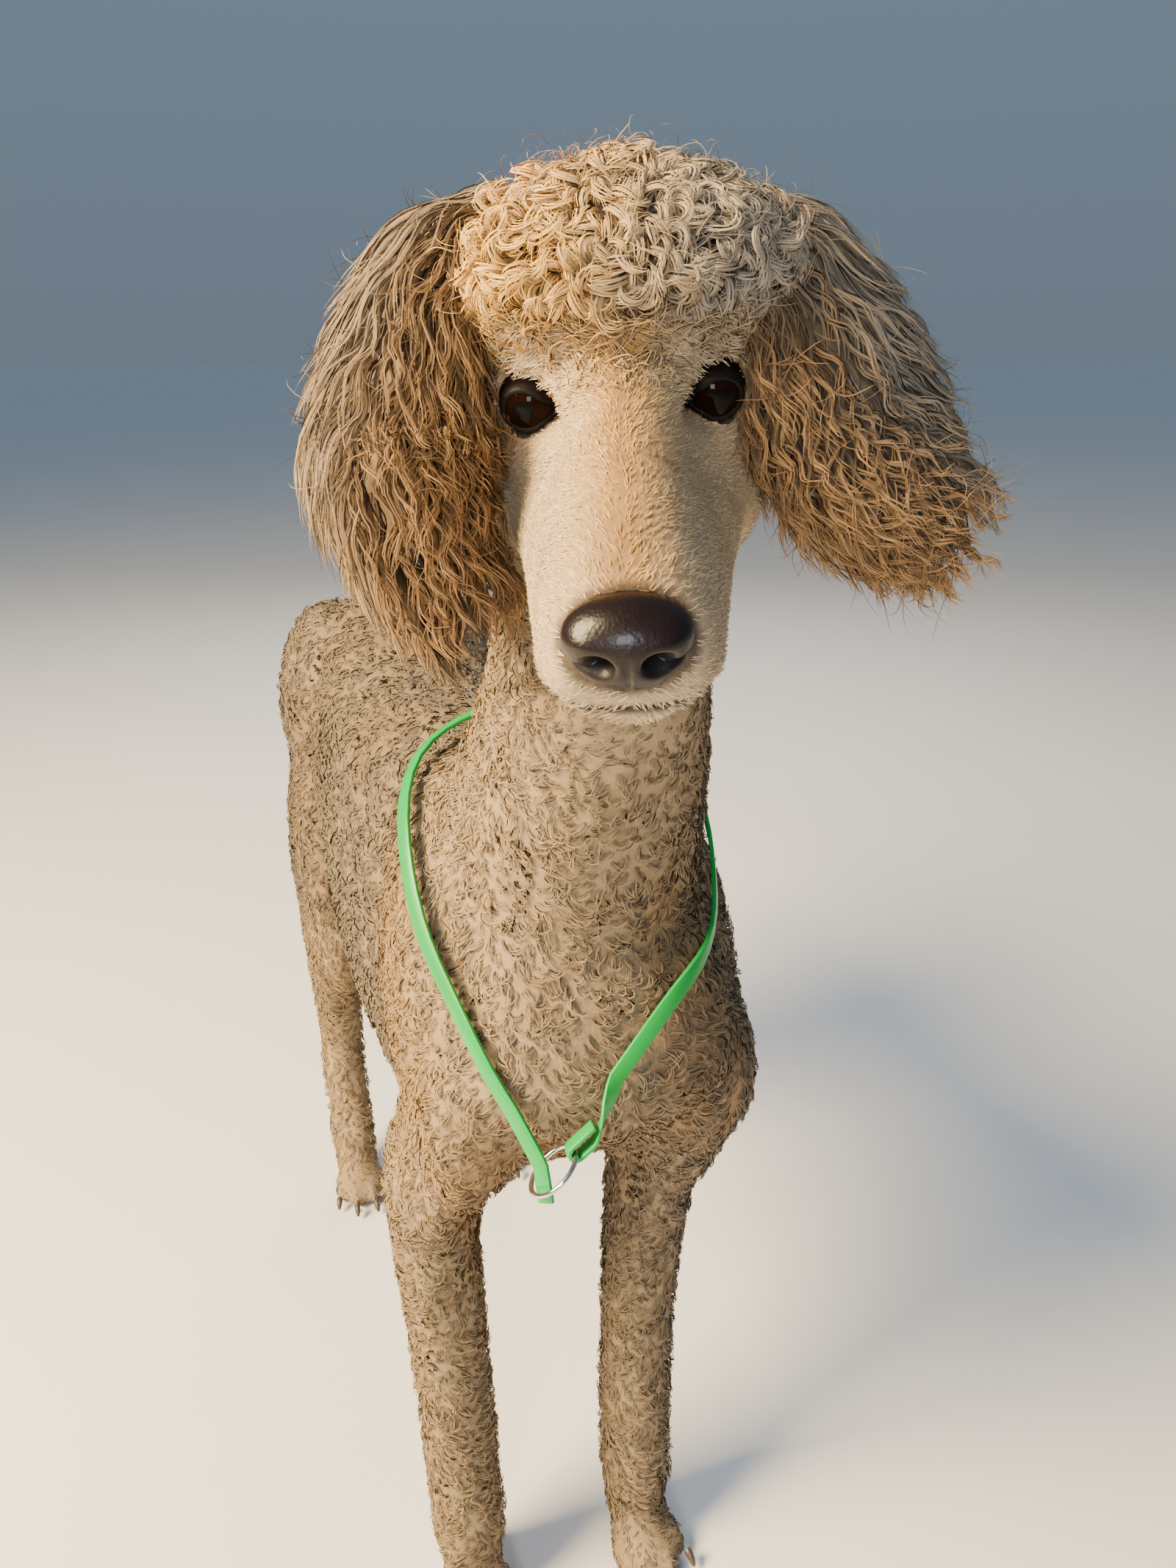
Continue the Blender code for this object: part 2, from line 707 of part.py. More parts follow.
# Outline of an ear's hair: x to the side, y back, z up, half breadth, half thickness.
EAR_ROWS = {
    "right": (
        (0.038, 0.052, 0.054, 0.026, 0.015),
        (0.066, 0.050, 0.038, 0.040, 0.023),
        (0.082, 0.048, 0.004, 0.054, 0.029),
        (0.087, 0.042, -0.028, 0.058, 0.033),
        (0.075, 0.028, -0.058, 0.050, 0.030),
        (0.057, 0.014, -0.085, 0.034, 0.022),
    ),
    "left": (
        (0.038, 0.052, 0.050, 0.026, 0.015),
        (0.058, 0.050, 0.038, 0.040, 0.024),
        (0.073, 0.046, 0.012, 0.052, 0.031),
        (0.088, 0.042, -0.014, 0.053, 0.032),
        (0.106, 0.034, -0.036, 0.044, 0.030),
        (0.130, 0.026, -0.050, 0.029, 0.021),
    ),
}
EAR_BREADTH_TURN = {"right": math.radians(28), "left": math.radians(38)}
# Each tier of locks: where they leave the leather and where they end along the ear, and how many.
EAR_TIERS = ((0.10, 0.54, 7), (0.36, 0.82, 8), (0.62, 1.09, 8))
LOCK_OVERLAP = 1.35
EAR_SEED = 37
# Stations of a lock: share of its way, reach from the ear's middle line to its outline, share of its width.
LOCK_STATIONS = ((0.00, 0.30, 0.75), (0.32, 0.86, 1.00), (0.70, 1.00, 0.78), (1.00, 0.98, 0.0))
LOCK_THICKNESS = 0.30
LEATHER = (0.62, 0.42)
BARE_INSIDE = -0.30


def ear_frame():
    """The head's place and turn, without its roll and pitch, since the ears hang down."""
    turned = Matrix.Rotation(HEAD_YAW, 4, "Z") @ Matrix.Rotation(HEAD_PITCH * 0.35, 4, "X")
    return Matrix.Translation(HEAD_PLACE) @ turned


def ear_station(name, side, share):
    """Middle, direction of the breadth, outward direction, half breadth and half thickness along an ear."""
    rows = spline([(r[0] * side, *r[1:]) for r in EAR_ROWS[name]], 41)
    at = min(share, 1.0) * 40
    one = min(int(at), 39)
    row = rows[one] + (rows[one + 1] - rows[one]) * (at - one)
    ahead = Vector(rows[one + 1][:3] - rows[one][:3]).normalized()
    beyond = max(0.0, share - 1.0)
    length = sum(np.linalg.norm(rows[i + 1][:3] - rows[i][:3]) for i in range(40))
    middle = Vector(row[:3]) + ahead * beyond * length
    turn = EAR_BREADTH_TURN[name]
    breadth = Vector((math.sin(turn) * side, math.cos(turn), 0))
    breadth = (breadth - ahead * breadth.dot(ahead)).normalized()
    outward = ahead.cross(breadth) * side
    taper = 1 - 2.6 * beyond
    return middle, breadth, outward, row[3] * taper, row[4] * taper


def ear_place(name, side, share, angle, reach):
    """A place in an ear and the direction out of it."""
    middle, breadth, outward, wide, thick = ear_station(name, side, share)
    c, s = math.cos(angle), math.sin(angle)
    place = middle + (breadth * wide * c + outward * thick * s) * reach
    return place, (breadth * c / wide + outward * s / thick).normalized()


def ear_leather(name, side):
    """The flap of the ear itself, short of the tips of its hair, with a cup in the face to the head."""
    broad, thin = LEATHER
    rings = []
    for share in (0.0, 0.25, 0.5, 0.75):
        around = [2 * math.pi * (i + 0.5) / 8 for i in range(8)]
        middle, breadth, outward, wide, thick = ear_station(name, side, share)
        rings.append(
            [
                middle + breadth * wide * broad * math.cos(a) + outward * thick * thin * math.sin(a)
                for a in around
            ]
        )
    tip, _ = ear_place(name, side, 0.88, 0, 0)
    root, _ = ear_place(name, side, 0.0, 0, 0)
    leather = object_of("ear_" + name, skinned(rings, (root, tip)), ear_frame())
    middle, breadth, outward, wide, thick = ear_station(name, side, 0.36)
    ahead = breadth.cross(outward)
    place = middle - outward * thick * thin
    axes = Matrix((breadth, outward, ahead)).transposed().to_4x4()
    bm = bmesh.new()
    bmesh.ops.create_uvsphere(bm, u_segments=8, v_segments=6, radius=1.0)
    cup = Matrix.Translation(place) @ axes @ Matrix.Diagonal((wide * 0.42, thick * 0.22, wide * 0.55, 1.0))
    hollow = object_of("ear_cup", bm, ear_frame() @ cup)
    boolean(leather, hollow, "DIFFERENCE")
    bpy.data.objects.remove(hollow)
    return keep_largest(leather)


def ear_locks(name, side, random_source):
    """Tiers of long locks round the leather, each over the roots of the next."""
    locks = []
    for tier, (start, end, count) in enumerate(EAR_TIERS):
        for i in range(count):
            angle = 2 * math.pi * (i + 0.5 * (tier % 2) + random_source.uniform(-0.15, 0.15)) / count
            if tier < 2 and math.sin(angle) < BARE_INSIDE:
                continue
            last = start + (end - start) * random_source.uniform(0.86, 1.08)
            wave = random_source.uniform(-0.22, 0.22)
            _, _, _, wide, thick = ear_station(name, side, start)
            width = math.pi * (wide + thick) / count * LOCK_OVERLAP
            places, outs, widths = [], [], []
            for share, reach, broad in LOCK_STATIONS:
                bent = angle + wave * math.sin(2.4 * math.pi * share)
                place, out = ear_place(name, side, start + (last - start) * share, bent, reach)
                places.append(place)
                outs.append(out)
                widths.append(width * broad)
            locks.append(lock(places, outs, widths, width * LOCK_THICKNESS))
    return [object_of(f"lock_{i}", made, ear_frame()) for i, made in enumerate(locks)]


# Topknot: a dome of curls from the brows over the skull to the back of the head.

# The ears keep this far off the dome that the curls fill.
DOME_CLEAR = 0.0030
TOPKNOT_HEART = Vector((0.0, 0.045, 0.022))
TOPKNOT_CURLS = 118
TOPKNOT_TRIANGLES = 3000
CURL_ROOT = 0.25
CORE_SHARE = 0.45
LEAST_CURL = 0.010


def topknot_dome():
    """The outline that the tops of the curls reach."""
    return [
        ellipsoid((0.001, 0.048, 0.028), (0.0680, 0.0620, 0.0410), (-14, 0, 0), 20, 12),
        ellipsoid((0, 0.014, 0.038), (0.0500, 0.0290, 0.0220), (-6, 0, 0), 18, 10),
        ellipsoid((0, 0.084, 0.004), (0.0560, 0.0420, 0.0560), (-10, 0, 0), 18, 10),
        ellipsoid((0, 0.004, 0.029), (0.0250, 0.0170, 0.0160), (-20, 0, 0), 12, 8),
    ]


def topknot_curls(dome_tree, skull_tree, random_source):
    heart = head_matrix() @ TOPKNOT_HEART
    spacing = math.sqrt(4 * math.pi / TOPKNOT_CURLS)
    curls = []
    for direction in even_directions(TOPKNOT_CURLS):
        top, _, _, reach = dome_tree.ray_cast(heart, direction)
        base, out, _, _ = skull_tree.find_nearest(top)
        if (top - base).dot(out) < LEAST_CURL:
            continue
        root = base + (top - base) * CURL_ROOT
        top = root + (top - root) * random_source.uniform(0.86, 1.0)
        width = spacing * reach * random_source.uniform(1.12, 1.32)
        curls.append(object_of(f"curl_{len(curls)}", curl(root, top, width, random_source)))
    return curls


# Pompon of the tail.

POMPON_RADIUS = 0.050
POMPON_CURLS = 26
POMPON_CORE = 0.48


def pompon(random_source):
    """A ball of curls round the end of the tail, on a core of half its size."""
    spacing = math.sqrt(4 * math.pi / POMPON_CURLS) * POMPON_RADIUS
    core = ellipsoid(TAIL_TIP, (POMPON_RADIUS * POMPON_CORE,) * 3, segments=10, rings=6)
    pieces = [object_of("pompon_core", core)]
    for direction in even_directions(POMPON_CURLS):
        root = TAIL_TIP + direction * POMPON_RADIUS * 0.25
        top = TAIL_TIP + direction * POMPON_RADIUS * random_source.uniform(0.90, 1.04)
        width = spacing * random_source.uniform(1.1, 1.3)
        made = curl(root, top, width, random_source, 5)
        pieces.append(object_of(f"pompon_{len(pieces)}", made))
    return pieces


# Putting the body together.

# Voxel sizes and rounds of smoothing that fuse the shapes, and about how many triangles are kept.
HEAD_FUSE = (0.0026, 10)
LIDS_FUSE = (0.0018, 2)
HEAD_TRIANGLES = 3050
BODY_FUSE = (0.005, 26)
FEET_FUSE = (0.0036, 3)
BODY_TRIANGLES = 3800


def union_meshes(one, other):
    """Puts the mesh of another object into the first, overlaps and all."""
    bm = bmesh.new()
    bm.from_mesh(one.data)
    bm.from_mesh(other.data)
    bm.to_mesh(one.data)
    bm.free()
    bpy.data.objects.remove(other)
    return one


def build_head_flesh():
    """Skull, muzzle and the top of the neck, fused in one fine skin."""
    shapes = [skull(), chin(), throat()]
    for _, side in SIDES:
        shapes += face_forms(side)
    head = fuse(joined("head", shapes, head_matrix()), *HEAD_FUSE)
    lid_rims = joined("lids", [lids(side) for _, side in SIDES], head_matrix())
    both = union_meshes(union_meshes(head, lid_rims), joined("neck_top", [neck()]))
    return thin_out(fuse(both, *LIDS_FUSE), HEAD_TRIANGLES)


def ramp(value):
    """0 below 0, 1 above 1 and a smooth rise between."""
    value = max(0.0, min(1.0, value))
    return value * value * (3 - 2 * value)


def sway_chest(thing):
    """Leans the chest and the foot of the neck over to the dog's left, as the dog shifts its weight."""
    for vert in thing.data.vertices:
        x, y, z = vert.co
        share = ramp((0.05 - y) / 0.25) * ramp((z - 0.33) / 0.12) * (1 - ramp((z - 0.64) / 0.14))
        vert.co.x = x + CHEST_SWAY * share


def build_body():
    """The coat surface of neck, trunk, legs and tail root, fused in one skin."""
    shapes = [trunk(), neck(), tail_bone()]
    for _, side in SIDES:
        shapes += shoulder(side) + hindquarter(side)
        shapes += [foreleg(side), hindleg(side)]
    body = joined("torso", shapes)
    sway_chest(body)
    rough_head = joined("rough_head", [skull(), throat()], head_matrix())
    fuse(union_meshes(body, rough_head), *BODY_FUSE)
    feet = []
    for _, side in SIDES:
        feet += paw(FORE_FOOT_X * side, FORE_FOOT_Y) + paw(HIND_FOOT_X * side, HIND_FOOT_Y)
    return thin_out(fuse(union_meshes(body, joined("feet", feet)), *FEET_FUSE), BODY_TRIANGLES)


NECK_CUT = ((0, -0.130, 0.640), (0, -0.56, 0.83))
HEAD_CUT = ((-0.003, -0.315, 0.806), (-0.22, -0.52, 0.83))
FORELEG_TOP = 0.322
THIGH_TOP = (0.130, 0.372)
THIGH_SLOPE = 15.0


def foreleg_block(side):
    near, far = sorted((0.002 * side, 0.20 * side))
    return lambda grow: block("leg_cutter", (near, -0.40, -0.05), (far, -0.04, FORELEG_TOP), grow=grow)


def hindleg_block(side):
    near, far = sorted((0.004 * side, 0.20 * side))
    y, z = THIGH_TOP
    low, high = (near, y - 0.10, z - 0.60), (far, y + 0.40, z)
    return lambda grow: block("leg_cutter", low, high, THIGH_SLOPE, (0, y, z), grow=grow)


def tail_block(grow):
    low, high = TAIL_ROOT + Vector((-0.05, -0.05, 0)), TAIL_ROOT + Vector((0.05, 0.05, 0.20))
    return block("tail_cutter", low, high, -29.0, TAIL_ROOT, grow=grow)


# The paws are cut level this far above the lowest point of their round shapes.
SOLE_DEPTH = 0.0028


def build_legs(body):
    """Takes the four legs out of the body, each with its claws."""
    legs = []
    for name, side in SIDES:
        places = (
            ("foreleg_" + name, foreleg_block(side), FORE_FOOT_X * side, FORE_FOOT_Y),
            ("hindleg_" + name, hindleg_block(side), HIND_FOOT_X * side, HIND_FOOT_Y),
        )
        for leg_name, cutter_of, x, y in places:
            leg = carve_out(body, cutter_of, leg_name)
            keep_below(leg, Vector((0, 0, SOLE_DEPTH)), Vector((0, 0, -1)))
            claws = [claw(f"claw_{i}", x, y, toe) for i, toe in enumerate(TOES)]
            union_all(leg_name, [leg, *claws])
            paint(leg, "leg_coat", CREAM, 0.95)
            legs.append(leg)
    return legs


def build_eye_region(head):
    """Cuts the sockets between the lids and makes the eyeballs."""
    eyes = []
    for name, side in SIDES:
        ball = eye("eye_" + name, side)
        paint(ball, "eye", EYE_BROWN, 0.08)
        cut_clear(head, ball)
        eyes.append(ball)
    return eyes


def build_nose(head):
    """The nose leather set in the end of the muzzle."""
    pad = nose_pad()
    cut_clear(head, pad)
    cut_nostrils(pad)
    paint(pad, "nose_leather", NOSE_BROWN, 0.30)
    return pad


def build_jaw(head):
    jaw = carve_out(head, mouth_cutter, "lower_jaw")
    paint(jaw, "jaw_coat", PALE_CREAM, 0.9)
    return jaw


def build_topknot(head):
    """The curls over a low core that follows the skull. Returns them and the dome that they fill."""
    lumps = [object_of(f"dome_{i}", lump, head_matrix()) for i, lump in enumerate(topknot_dome())]
    dome = union_all("dome", lumps)
    skull_tree = surface_tree(head)
    core = copy_of(dome, "topknot")
    shrink_to(core, skull_tree, CORE_SHARE)
    curls = topknot_curls(surface_tree(dome), skull_tree, random.Random(SEED))
    thin_out(union_all("topknot", [core, *curls]), TOPKNOT_TRIANGLES)
    cut_clear(core, head)
    paint(core, "topknot_coat", CREAM, 0.95)
    return core, dome


def build_ear(name, side, neighbours, dome):
    """One ear, cut clear of its neighbours and of the dome of the topknot, which the curls fill."""
    random_source = random.Random(EAR_SEED + side)
    made = union_all("ear_" + name, [ear_leather(name, side), *ear_locks(name, side, random_source)])
    cut_clear(made, dome, by=DOME_CLEAR, solver="MANIFOLD")
    cut_clear(made, *neighbours, solver="MANIFOLD")
    paint(made, "ear_coat", APRICOT, 0.95)
    return made


def build_tail(body):
    made = carve_out(body, tail_block, "tail")
    union_all("tail", [made, *pompon(random.Random(SEED))])
    paint(made, "tail_coat", CREAM, 0.95)
    return made


# Collar: a flat strap round the base of the neck whose two ends meet in a ring at the chest.

# The strap's way over the coat, from the chest up the dog's left side, over the withers and down the right.
STRAP_ROUTE = (
    (0.004, -0.310, 0.498),
    (0.038, -0.296, 0.530),
    (0.074, -0.263, 0.551),
    (0.094, -0.226, 0.586),
    (0.090, -0.186, 0.622),
    (0.058, -0.146, 0.655),
    (0.004, -0.124, 0.665),
    (-0.046, -0.128, 0.632),
    (-0.073, -0.184, 0.600),
    (-0.076, -0.228, 0.550),
    (-0.063, -0.269, 0.518),
    (-0.048, -0.299, 0.484),
)
# How far the folded end runs back along the strap, and where the sliding end crosses the ring and stops.
FOLD_LENGTH = 0.016
SLIDE_SHARE = -0.43
SLIDE_END = Vector((0.0004, -0.0046, -0.0110))


def surface_tree(*things):
    """A search tree over the surfaces of several objects."""
    points, faces = [], []
    for thing in things:
        start = len(points)
        points += [thing.matrix_world @ vert.co for vert in thing.data.vertices]
        faces += [[start + i for i in face.vertices] for face in thing.data.polygons]
    return BVHTree.FromPolygons(points, faces)


def ring_axes():
    """The ring's directions: to the folded end of the strap, across that, and down the hole."""
    up = (RING_UPWARD - RING_FACING * RING_UPWARD.dot(RING_FACING)).normalized()
    return up, RING_FACING.cross(up), RING_FACING


def strap_on_coat(tree, count=52):
    """Places along the strap where it lies on the coat: place of its under side and direction out."""
    aims = [Vector(row) for row in spline(STRAP_ROUTE, count)]
    found = [tree.find_nearest(aim) for aim in aims]
    places = [hit[0] for hit in found]
    outs = [hit[1] for hit in found]
    for _ in range(6):
        places = smoothed(places)
        outs = [out.normalized() for out in smoothed(outs)]
    stations = []
    for i, place in enumerate(places):
        along = (places[min(i + 1, count - 1)] - places[max(i - 1, 0)]).normalized()
        out = (outs[i] - along * outs[i].dot(along)).normalized()
        stations.append([place, along, out])
    lifts = [needed_lift(tree, *station) for station in stations]
    wide = [max(lifts[max(i - 2, 0) : i + 3]) for i in range(count)]
    for _ in range(3):
        wide = [max(lift, value) for lift, value in zip(lifts, smoothed(wide))]
    return [(place + out * lift, out) for (place, _, out), lift in zip(stations, wide)]


def folded_end():
    """The end that is folded round the ring's wire, from its cut to the run up the chest."""
    up, _, down_hole = ring_axes()
    wire = RING_PLACE + up * RING_RADIUS
    curve_of_wire = RING_RADIUS - math.sqrt(RING_RADIUS**2 - (STRAP_WIDTH / 2) ** 2)
    off = RING_WIRE + STRAP_CLEAR + curve_of_wire
    stations = [(wire + up * FOLD_LENGTH * share - down_hole * off, -down_hole) for share in (1.0, 0.6, 0.2)]
    for step in range(7):
        turn = math.pi * step / 6
        out = -up * math.sin(turn) - down_hole * math.cos(turn)
        stations.append((wire + out * off, out))
    stations += [(wire + up * FOLD_LENGTH * share + down_hole * off, down_hole) for share in (0.2, 0.6)]
    return stations


def sliding_end(towards):
    """The end that slides through the ring and is cut off short below it."""
    up, _, _ = ring_axes()
    crossing = RING_PLACE + up * RING_RADIUS * SLIDE_SHARE
    front = (towards - SLIDE_END * towards.dot(SLIDE_END) / SLIDE_END.length_squared).normalized()
    return [(crossing - SLIDE_END * 0.6, front), (crossing, front), (crossing + SLIDE_END, front)]


def bridge(one, two, before, after, count):
    """Stations on a smooth way between two others, given the places before and after them."""
    rows = [[*before[0], *before[1]], [*one[0], *one[1]], [*two[0], *two[1]], [*after[0], *after[1]]]
    rows = [np.array(row) for row in rows]
    made = []
    for i in range(1, count + 1):
        row = between(*rows, i / (count + 1))
        made.append((Vector(row[:3]), Vector(row[3:]).normalized()))
    return made


def smoothed(values):
    inner = [(values[i - 1] + values[i] * 2 + values[i + 1]) / 4 for i in range(1, len(values) - 1)]
    return [values[0], *inner, values[-1]]


def needed_lift(tree, place, along, out):
    """How far the strap's under side has to rise at this place to clear the coat."""
    across = along.cross(out)
    lift = -0.012
    while lift < 0.03:
        clear = True
        for share in (-0.5, -0.25, 0.0, 0.25, 0.5):
            point = place + across * share * STRAP_WIDTH + out * lift
            hit, normal, _, distance = tree.find_nearest(point)
            if (point - hit).dot(normal) < 0 or distance < STRAP_CLEAR:
                clear = False
        if clear:
            return lift
        lift += 0.0005
    return lift


def build_strap(tree):
    """The loop of flat strap, from the end folded round the ring to the end that slides through it."""
    fold, coat = folded_end(), strap_on_coat(tree)
    slide = sliding_end(coat[-1][1])
    rise = bridge(fold[-1], coat[0], fold[-2], coat[1], 4)
    fall = bridge(coat[-1], slide[0], coat[-2], slide[1], 4)
    stations = fold + rise + coat + fall + slide
    bm = bmesh.new()
    rows = []
    for i, (place, out) in enumerate(stations):
        ahead = stations[min(i + 1, len(stations) - 1)][0] - stations[max(i - 1, 0)][0]
        across = ahead.cross(out).normalized() * STRAP_WIDTH / 2
        up = out * STRAP_THICK
        corners = (place - across, place + across, place + across + up, place - across + up)
        rows.append([bm.verts.new(corner) for corner in corners])
    for one, two in zip(rows, rows[1:]):
        for i in range(4):
            j = (i + 1) % 4
            bm.faces.new((one[i], one[j], two[j], two[i]))
    bm.faces.new(rows[0])
    bm.faces.new(rows[-1])
    made = object_of("collar_strap", bm)
    paint(made, "strap", STRAP_GREEN, 0.35)
    return made


def build_ring():
    """The steel ring at the chest, which joins the two ends of the strap."""
    bm = bmesh.new()
    rows = []
    steps, around = 24, 6
    up, across, down_hole = ring_axes()
    for i in range(steps):
        angle = 2 * math.pi * i / steps
        spoke = up * math.cos(angle) + across * math.sin(angle)
        row = []
        for j in range(around):
            turn = 2 * math.pi * j / around
            reach = RING_RADIUS + RING_WIRE * math.cos(turn)
            row.append(bm.verts.new(RING_PLACE + spoke * reach + down_hole * RING_WIRE * math.sin(turn)))
        rows.append(row)
    for i in range(steps):
        one, two = rows[i], rows[(i + 1) % steps]
        for j in range(around):
            k = (j + 1) % around
            bm.faces.new((one[j], one[k], two[k], two[j]))
    made = object_of("collar_ring", bm)
    paint(made, "ring_steel", STEEL, 0.25, 1.0)
    return made


def centre_on_floor(things):
    """Moves everything so that the middle of the foot of the whole box is the origin."""
    low, high = Vector((1e9,) * 3), Vector((-1e9,) * 3)
    for thing in things:
        for vert in thing.data.vertices:
            low = Vector(map(min, low, vert.co))
            high = Vector(map(max, high, vert.co))
    move = Vector((-(low.x + high.x) / 2, -(low.y + high.y) / 2, -low.z))
    for thing in things:
        thing.data.transform(Matrix.Translation(move))


def main():
    clear_scene()
    body = build_body()
    keep_below(body, Vector(HEAD_CUT[0]) - Vector(HEAD_CUT[1]).normalized() * GAP, Vector(HEAD_CUT[1]))
    neck_node = part_in_two(body, *NECK_CUT)[1]
    neck_node.name = "neck"
    paint(neck_node, "neck_coat", CREAM, 0.95)
    tail = build_tail(body)
    legs = build_legs(body)
    paint(body, "short_coat", CREAM, 0.95)
    head = build_head_flesh()
    keep_below(head, Vector(HEAD_CUT[0]), -Vector(HEAD_CUT[1]))
    snout = build_nose(head)
    eyes = build_eye_region(head)
    jaw = build_jaw(head)
    paint(head, "head_coat", PALE_CREAM, 0.95)
    top, dome = build_topknot(head)
    ears = [build_ear(name, side, (head, neck_node, jaw), dome) for name, side in SIDES]
    bpy.data.objects.remove(dome)
    cut_clear(top, *ears, solver="MANIFOLD")
    strap = build_strap(surface_tree(body, neck_node, *legs))
    ring = build_ring()
    centre_on_floor([body, neck_node, tail, *legs, head, snout, *eyes, jaw, top, *ears, strap, ring])


main()
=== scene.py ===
"""Standard poodle, life size: skin, coat of tufts and locks, face, collar and a plain studio.

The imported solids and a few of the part's own numbers give every place and size. One skin replaces the nodes
of flesh and lies inside them by the depth of the coat. Tufts, locks and ringlets of ribbons grow from it, out
to the solids' outline.
"""

import math

import bmesh
import bpy
import numpy as np
from mathutils import Matrix, Vector
from mathutils.bvhtree import BVHTree
from mathutils.kdtree import KDTree


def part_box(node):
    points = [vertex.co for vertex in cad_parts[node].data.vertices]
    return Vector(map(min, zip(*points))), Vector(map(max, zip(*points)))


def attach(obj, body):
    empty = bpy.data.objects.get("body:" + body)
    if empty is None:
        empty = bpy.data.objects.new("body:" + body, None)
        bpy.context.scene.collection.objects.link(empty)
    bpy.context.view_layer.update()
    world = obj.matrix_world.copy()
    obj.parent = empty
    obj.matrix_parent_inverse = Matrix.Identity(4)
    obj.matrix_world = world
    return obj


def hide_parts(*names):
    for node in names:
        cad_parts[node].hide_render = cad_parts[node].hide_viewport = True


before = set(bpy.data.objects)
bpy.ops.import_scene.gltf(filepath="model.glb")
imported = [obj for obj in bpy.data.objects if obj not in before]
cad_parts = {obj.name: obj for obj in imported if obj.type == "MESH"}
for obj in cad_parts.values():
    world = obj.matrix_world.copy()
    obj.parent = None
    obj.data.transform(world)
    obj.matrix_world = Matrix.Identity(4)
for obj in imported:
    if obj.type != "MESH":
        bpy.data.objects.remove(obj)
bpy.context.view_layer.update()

BODY = "root"
RANDOM = np.random.default_rng(11)

FLESH = (
    "torso", "neck", "head", "lower_jaw", "tail", "foreleg_left", "foreleg_right", "hindleg_left", "hindleg_right",
)
HEAD_FLESH = ("neck", "head", "lower_jaw")

# The head's own frame, as in the part: x to the dog's left, -y forward, z up, origin between the eyes.
HEAD_YAW = math.radians(-20.6)
HEAD_PITCH = math.radians(21.0)
HEAD_ROLL = math.radians(-4.0)
HEAD_PLACE = np.array((-0.0295, -0.3943, 0.8335))
EYE_PLACE = np.array((0.0305, 0.0040, 0.0))
EYE_RADIUS = 0.0112

# Camera of the photograph, from the point between the eyes.
CAMERA_FROM_HEAD = np.array((-0.1440, -0.3730, 0.0165))
CAMERA_FORWARD = (0.334, 0.943)
CAMERA_DIP = math.radians(21.17)
PHOTO_WIDTH = 1600
FOCAL_PIXELS = 1540


# Places, directions and smooth functions.


def box_middle(node):
    low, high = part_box(node)
    return np.array((low + high) / 2)


def head_turn(pitch_share=1.0, roll=HEAD_ROLL):
    turned = Matrix.Rotation(HEAD_YAW, 3, "Z") @ Matrix.Rotation(HEAD_PITCH * pitch_share, 3, "X")
    return np.array(turned @ Matrix.Rotation(roll, 3, "Y"))


def about_x(degrees):
    return np.array(Matrix.Rotation(math.radians(degrees), 3, "X"))


TURN = head_turn()
EAR_TURN = head_turn(0.35, 0.0)
HEAD_ORIGIN = (box_middle("eye_left") + box_middle("eye_right")) / 2 - TURN @ np.array((0, EYE_PLACE[1], 0))
SHIFT = HEAD_ORIGIN - HEAD_PLACE


def to_head(points):
    return (points - HEAD_ORIGIN) @ TURN


def from_head(points):
    return np.asarray(points) @ TURN.T + HEAD_ORIGIN


def local(points):
    """Points in the part's own numbers, before it was centred."""
    return points - SHIFT


def unit(vectors):
    return vectors / np.maximum(np.linalg.norm(vectors, axis=-1, keepdims=True), 1e-9)


def ramp(value, low, high):
    """0 below low, 1 above high and a smooth rise between."""
    share = np.clip((value - low) / (high - low), 0.0, 1.0)
    return share * share * (3 - 2 * share)


def bell(value, middle, width):
    """1 at the middle, falling to both sides."""
    return np.exp(-(((value - middle) / width) ** 2))


def tangent(vectors, normals):
    return unit(vectors - normals * (vectors * normals).sum(-1, keepdims=True))


WAVES = RANDOM.normal(size=(24, 3))
WAVE_PHASES = RANDOM.uniform(0, 2 * math.pi, 24)


def soft_noise(points, size, first=0):
    """Smooth noise of about -1 to 1, whose blobs are about that size across."""
    picked = slice(first * 6, first * 6 + 6)
    return np.sin(points @ WAVES[picked].T * (2.2 / size) + WAVE_PHASES[picked]).sum(1) / 2.6


def spline(rows, count):
    rows = np.array(rows, float)
    ends = np.vstack([2 * rows[0] - rows[1], rows, 2 * rows[-1] - rows[-2]])
    steps = np.linspace(0, len(rows) - 1, count)
    at = np.minimum(steps.astype(int), len(rows) - 2)
    t = (steps - at)[:, None]
    a, b, c, d = (ends[at + i] for i in range(4))
    return 0.5 * (2 * b + (c - a) * t + (2 * a - 5 * b + 4 * c - d) * t**2 + (3 * b - a - 3 * c + d) * t**3)


# Meshes.


def linked(name, mesh):
    made = bpy.data.objects.new(name, mesh)
    bpy.context.scene.collection.objects.link(made)
    return made


def mesh_object(name, points, faces):
    mesh = bpy.data.meshes.new(name)
    mesh.from_pydata([tuple(p) for p in points], [], faces)
    mesh.update()
    return linked(name, mesh)


def vertex_vectors(thing, field):
    found = np.empty(len(thing.data.vertices) * 3)
    thing.data.vertices.foreach_get(field, found)
    return found.reshape(-1, 3)


def points_of(thing):
    return vertex_vectors(thing, "co")


def normals_of(thing):
    return vertex_vectors(thing, "normal")


def set_points(thing, points):
    thing.data.vertices.foreach_set("co", points.ravel())
    thing.data.update()


def set_attribute(mesh, name, values, kind="FLOAT_VECTOR", field="vector"):
    mesh.attributes.new(name, kind, "POINT").data.foreach_set(field, np.ravel(values))


def set_marks(mesh, marks):
    """The coat's four marks: share from root to tip or darkness, variation, warm share and pale share."""
    set_attribute(mesh, "coat", marks, "FLOAT_COLOR", "color")


def plain_marks(thing):
    """The marks of a bare piece of skin: not dark, middling and hardly warm or pale."""
    set_marks(thing.data, np.tile((0.0, 0.5, 0.2, 0.1), (len(thing.data.vertices), 1)))


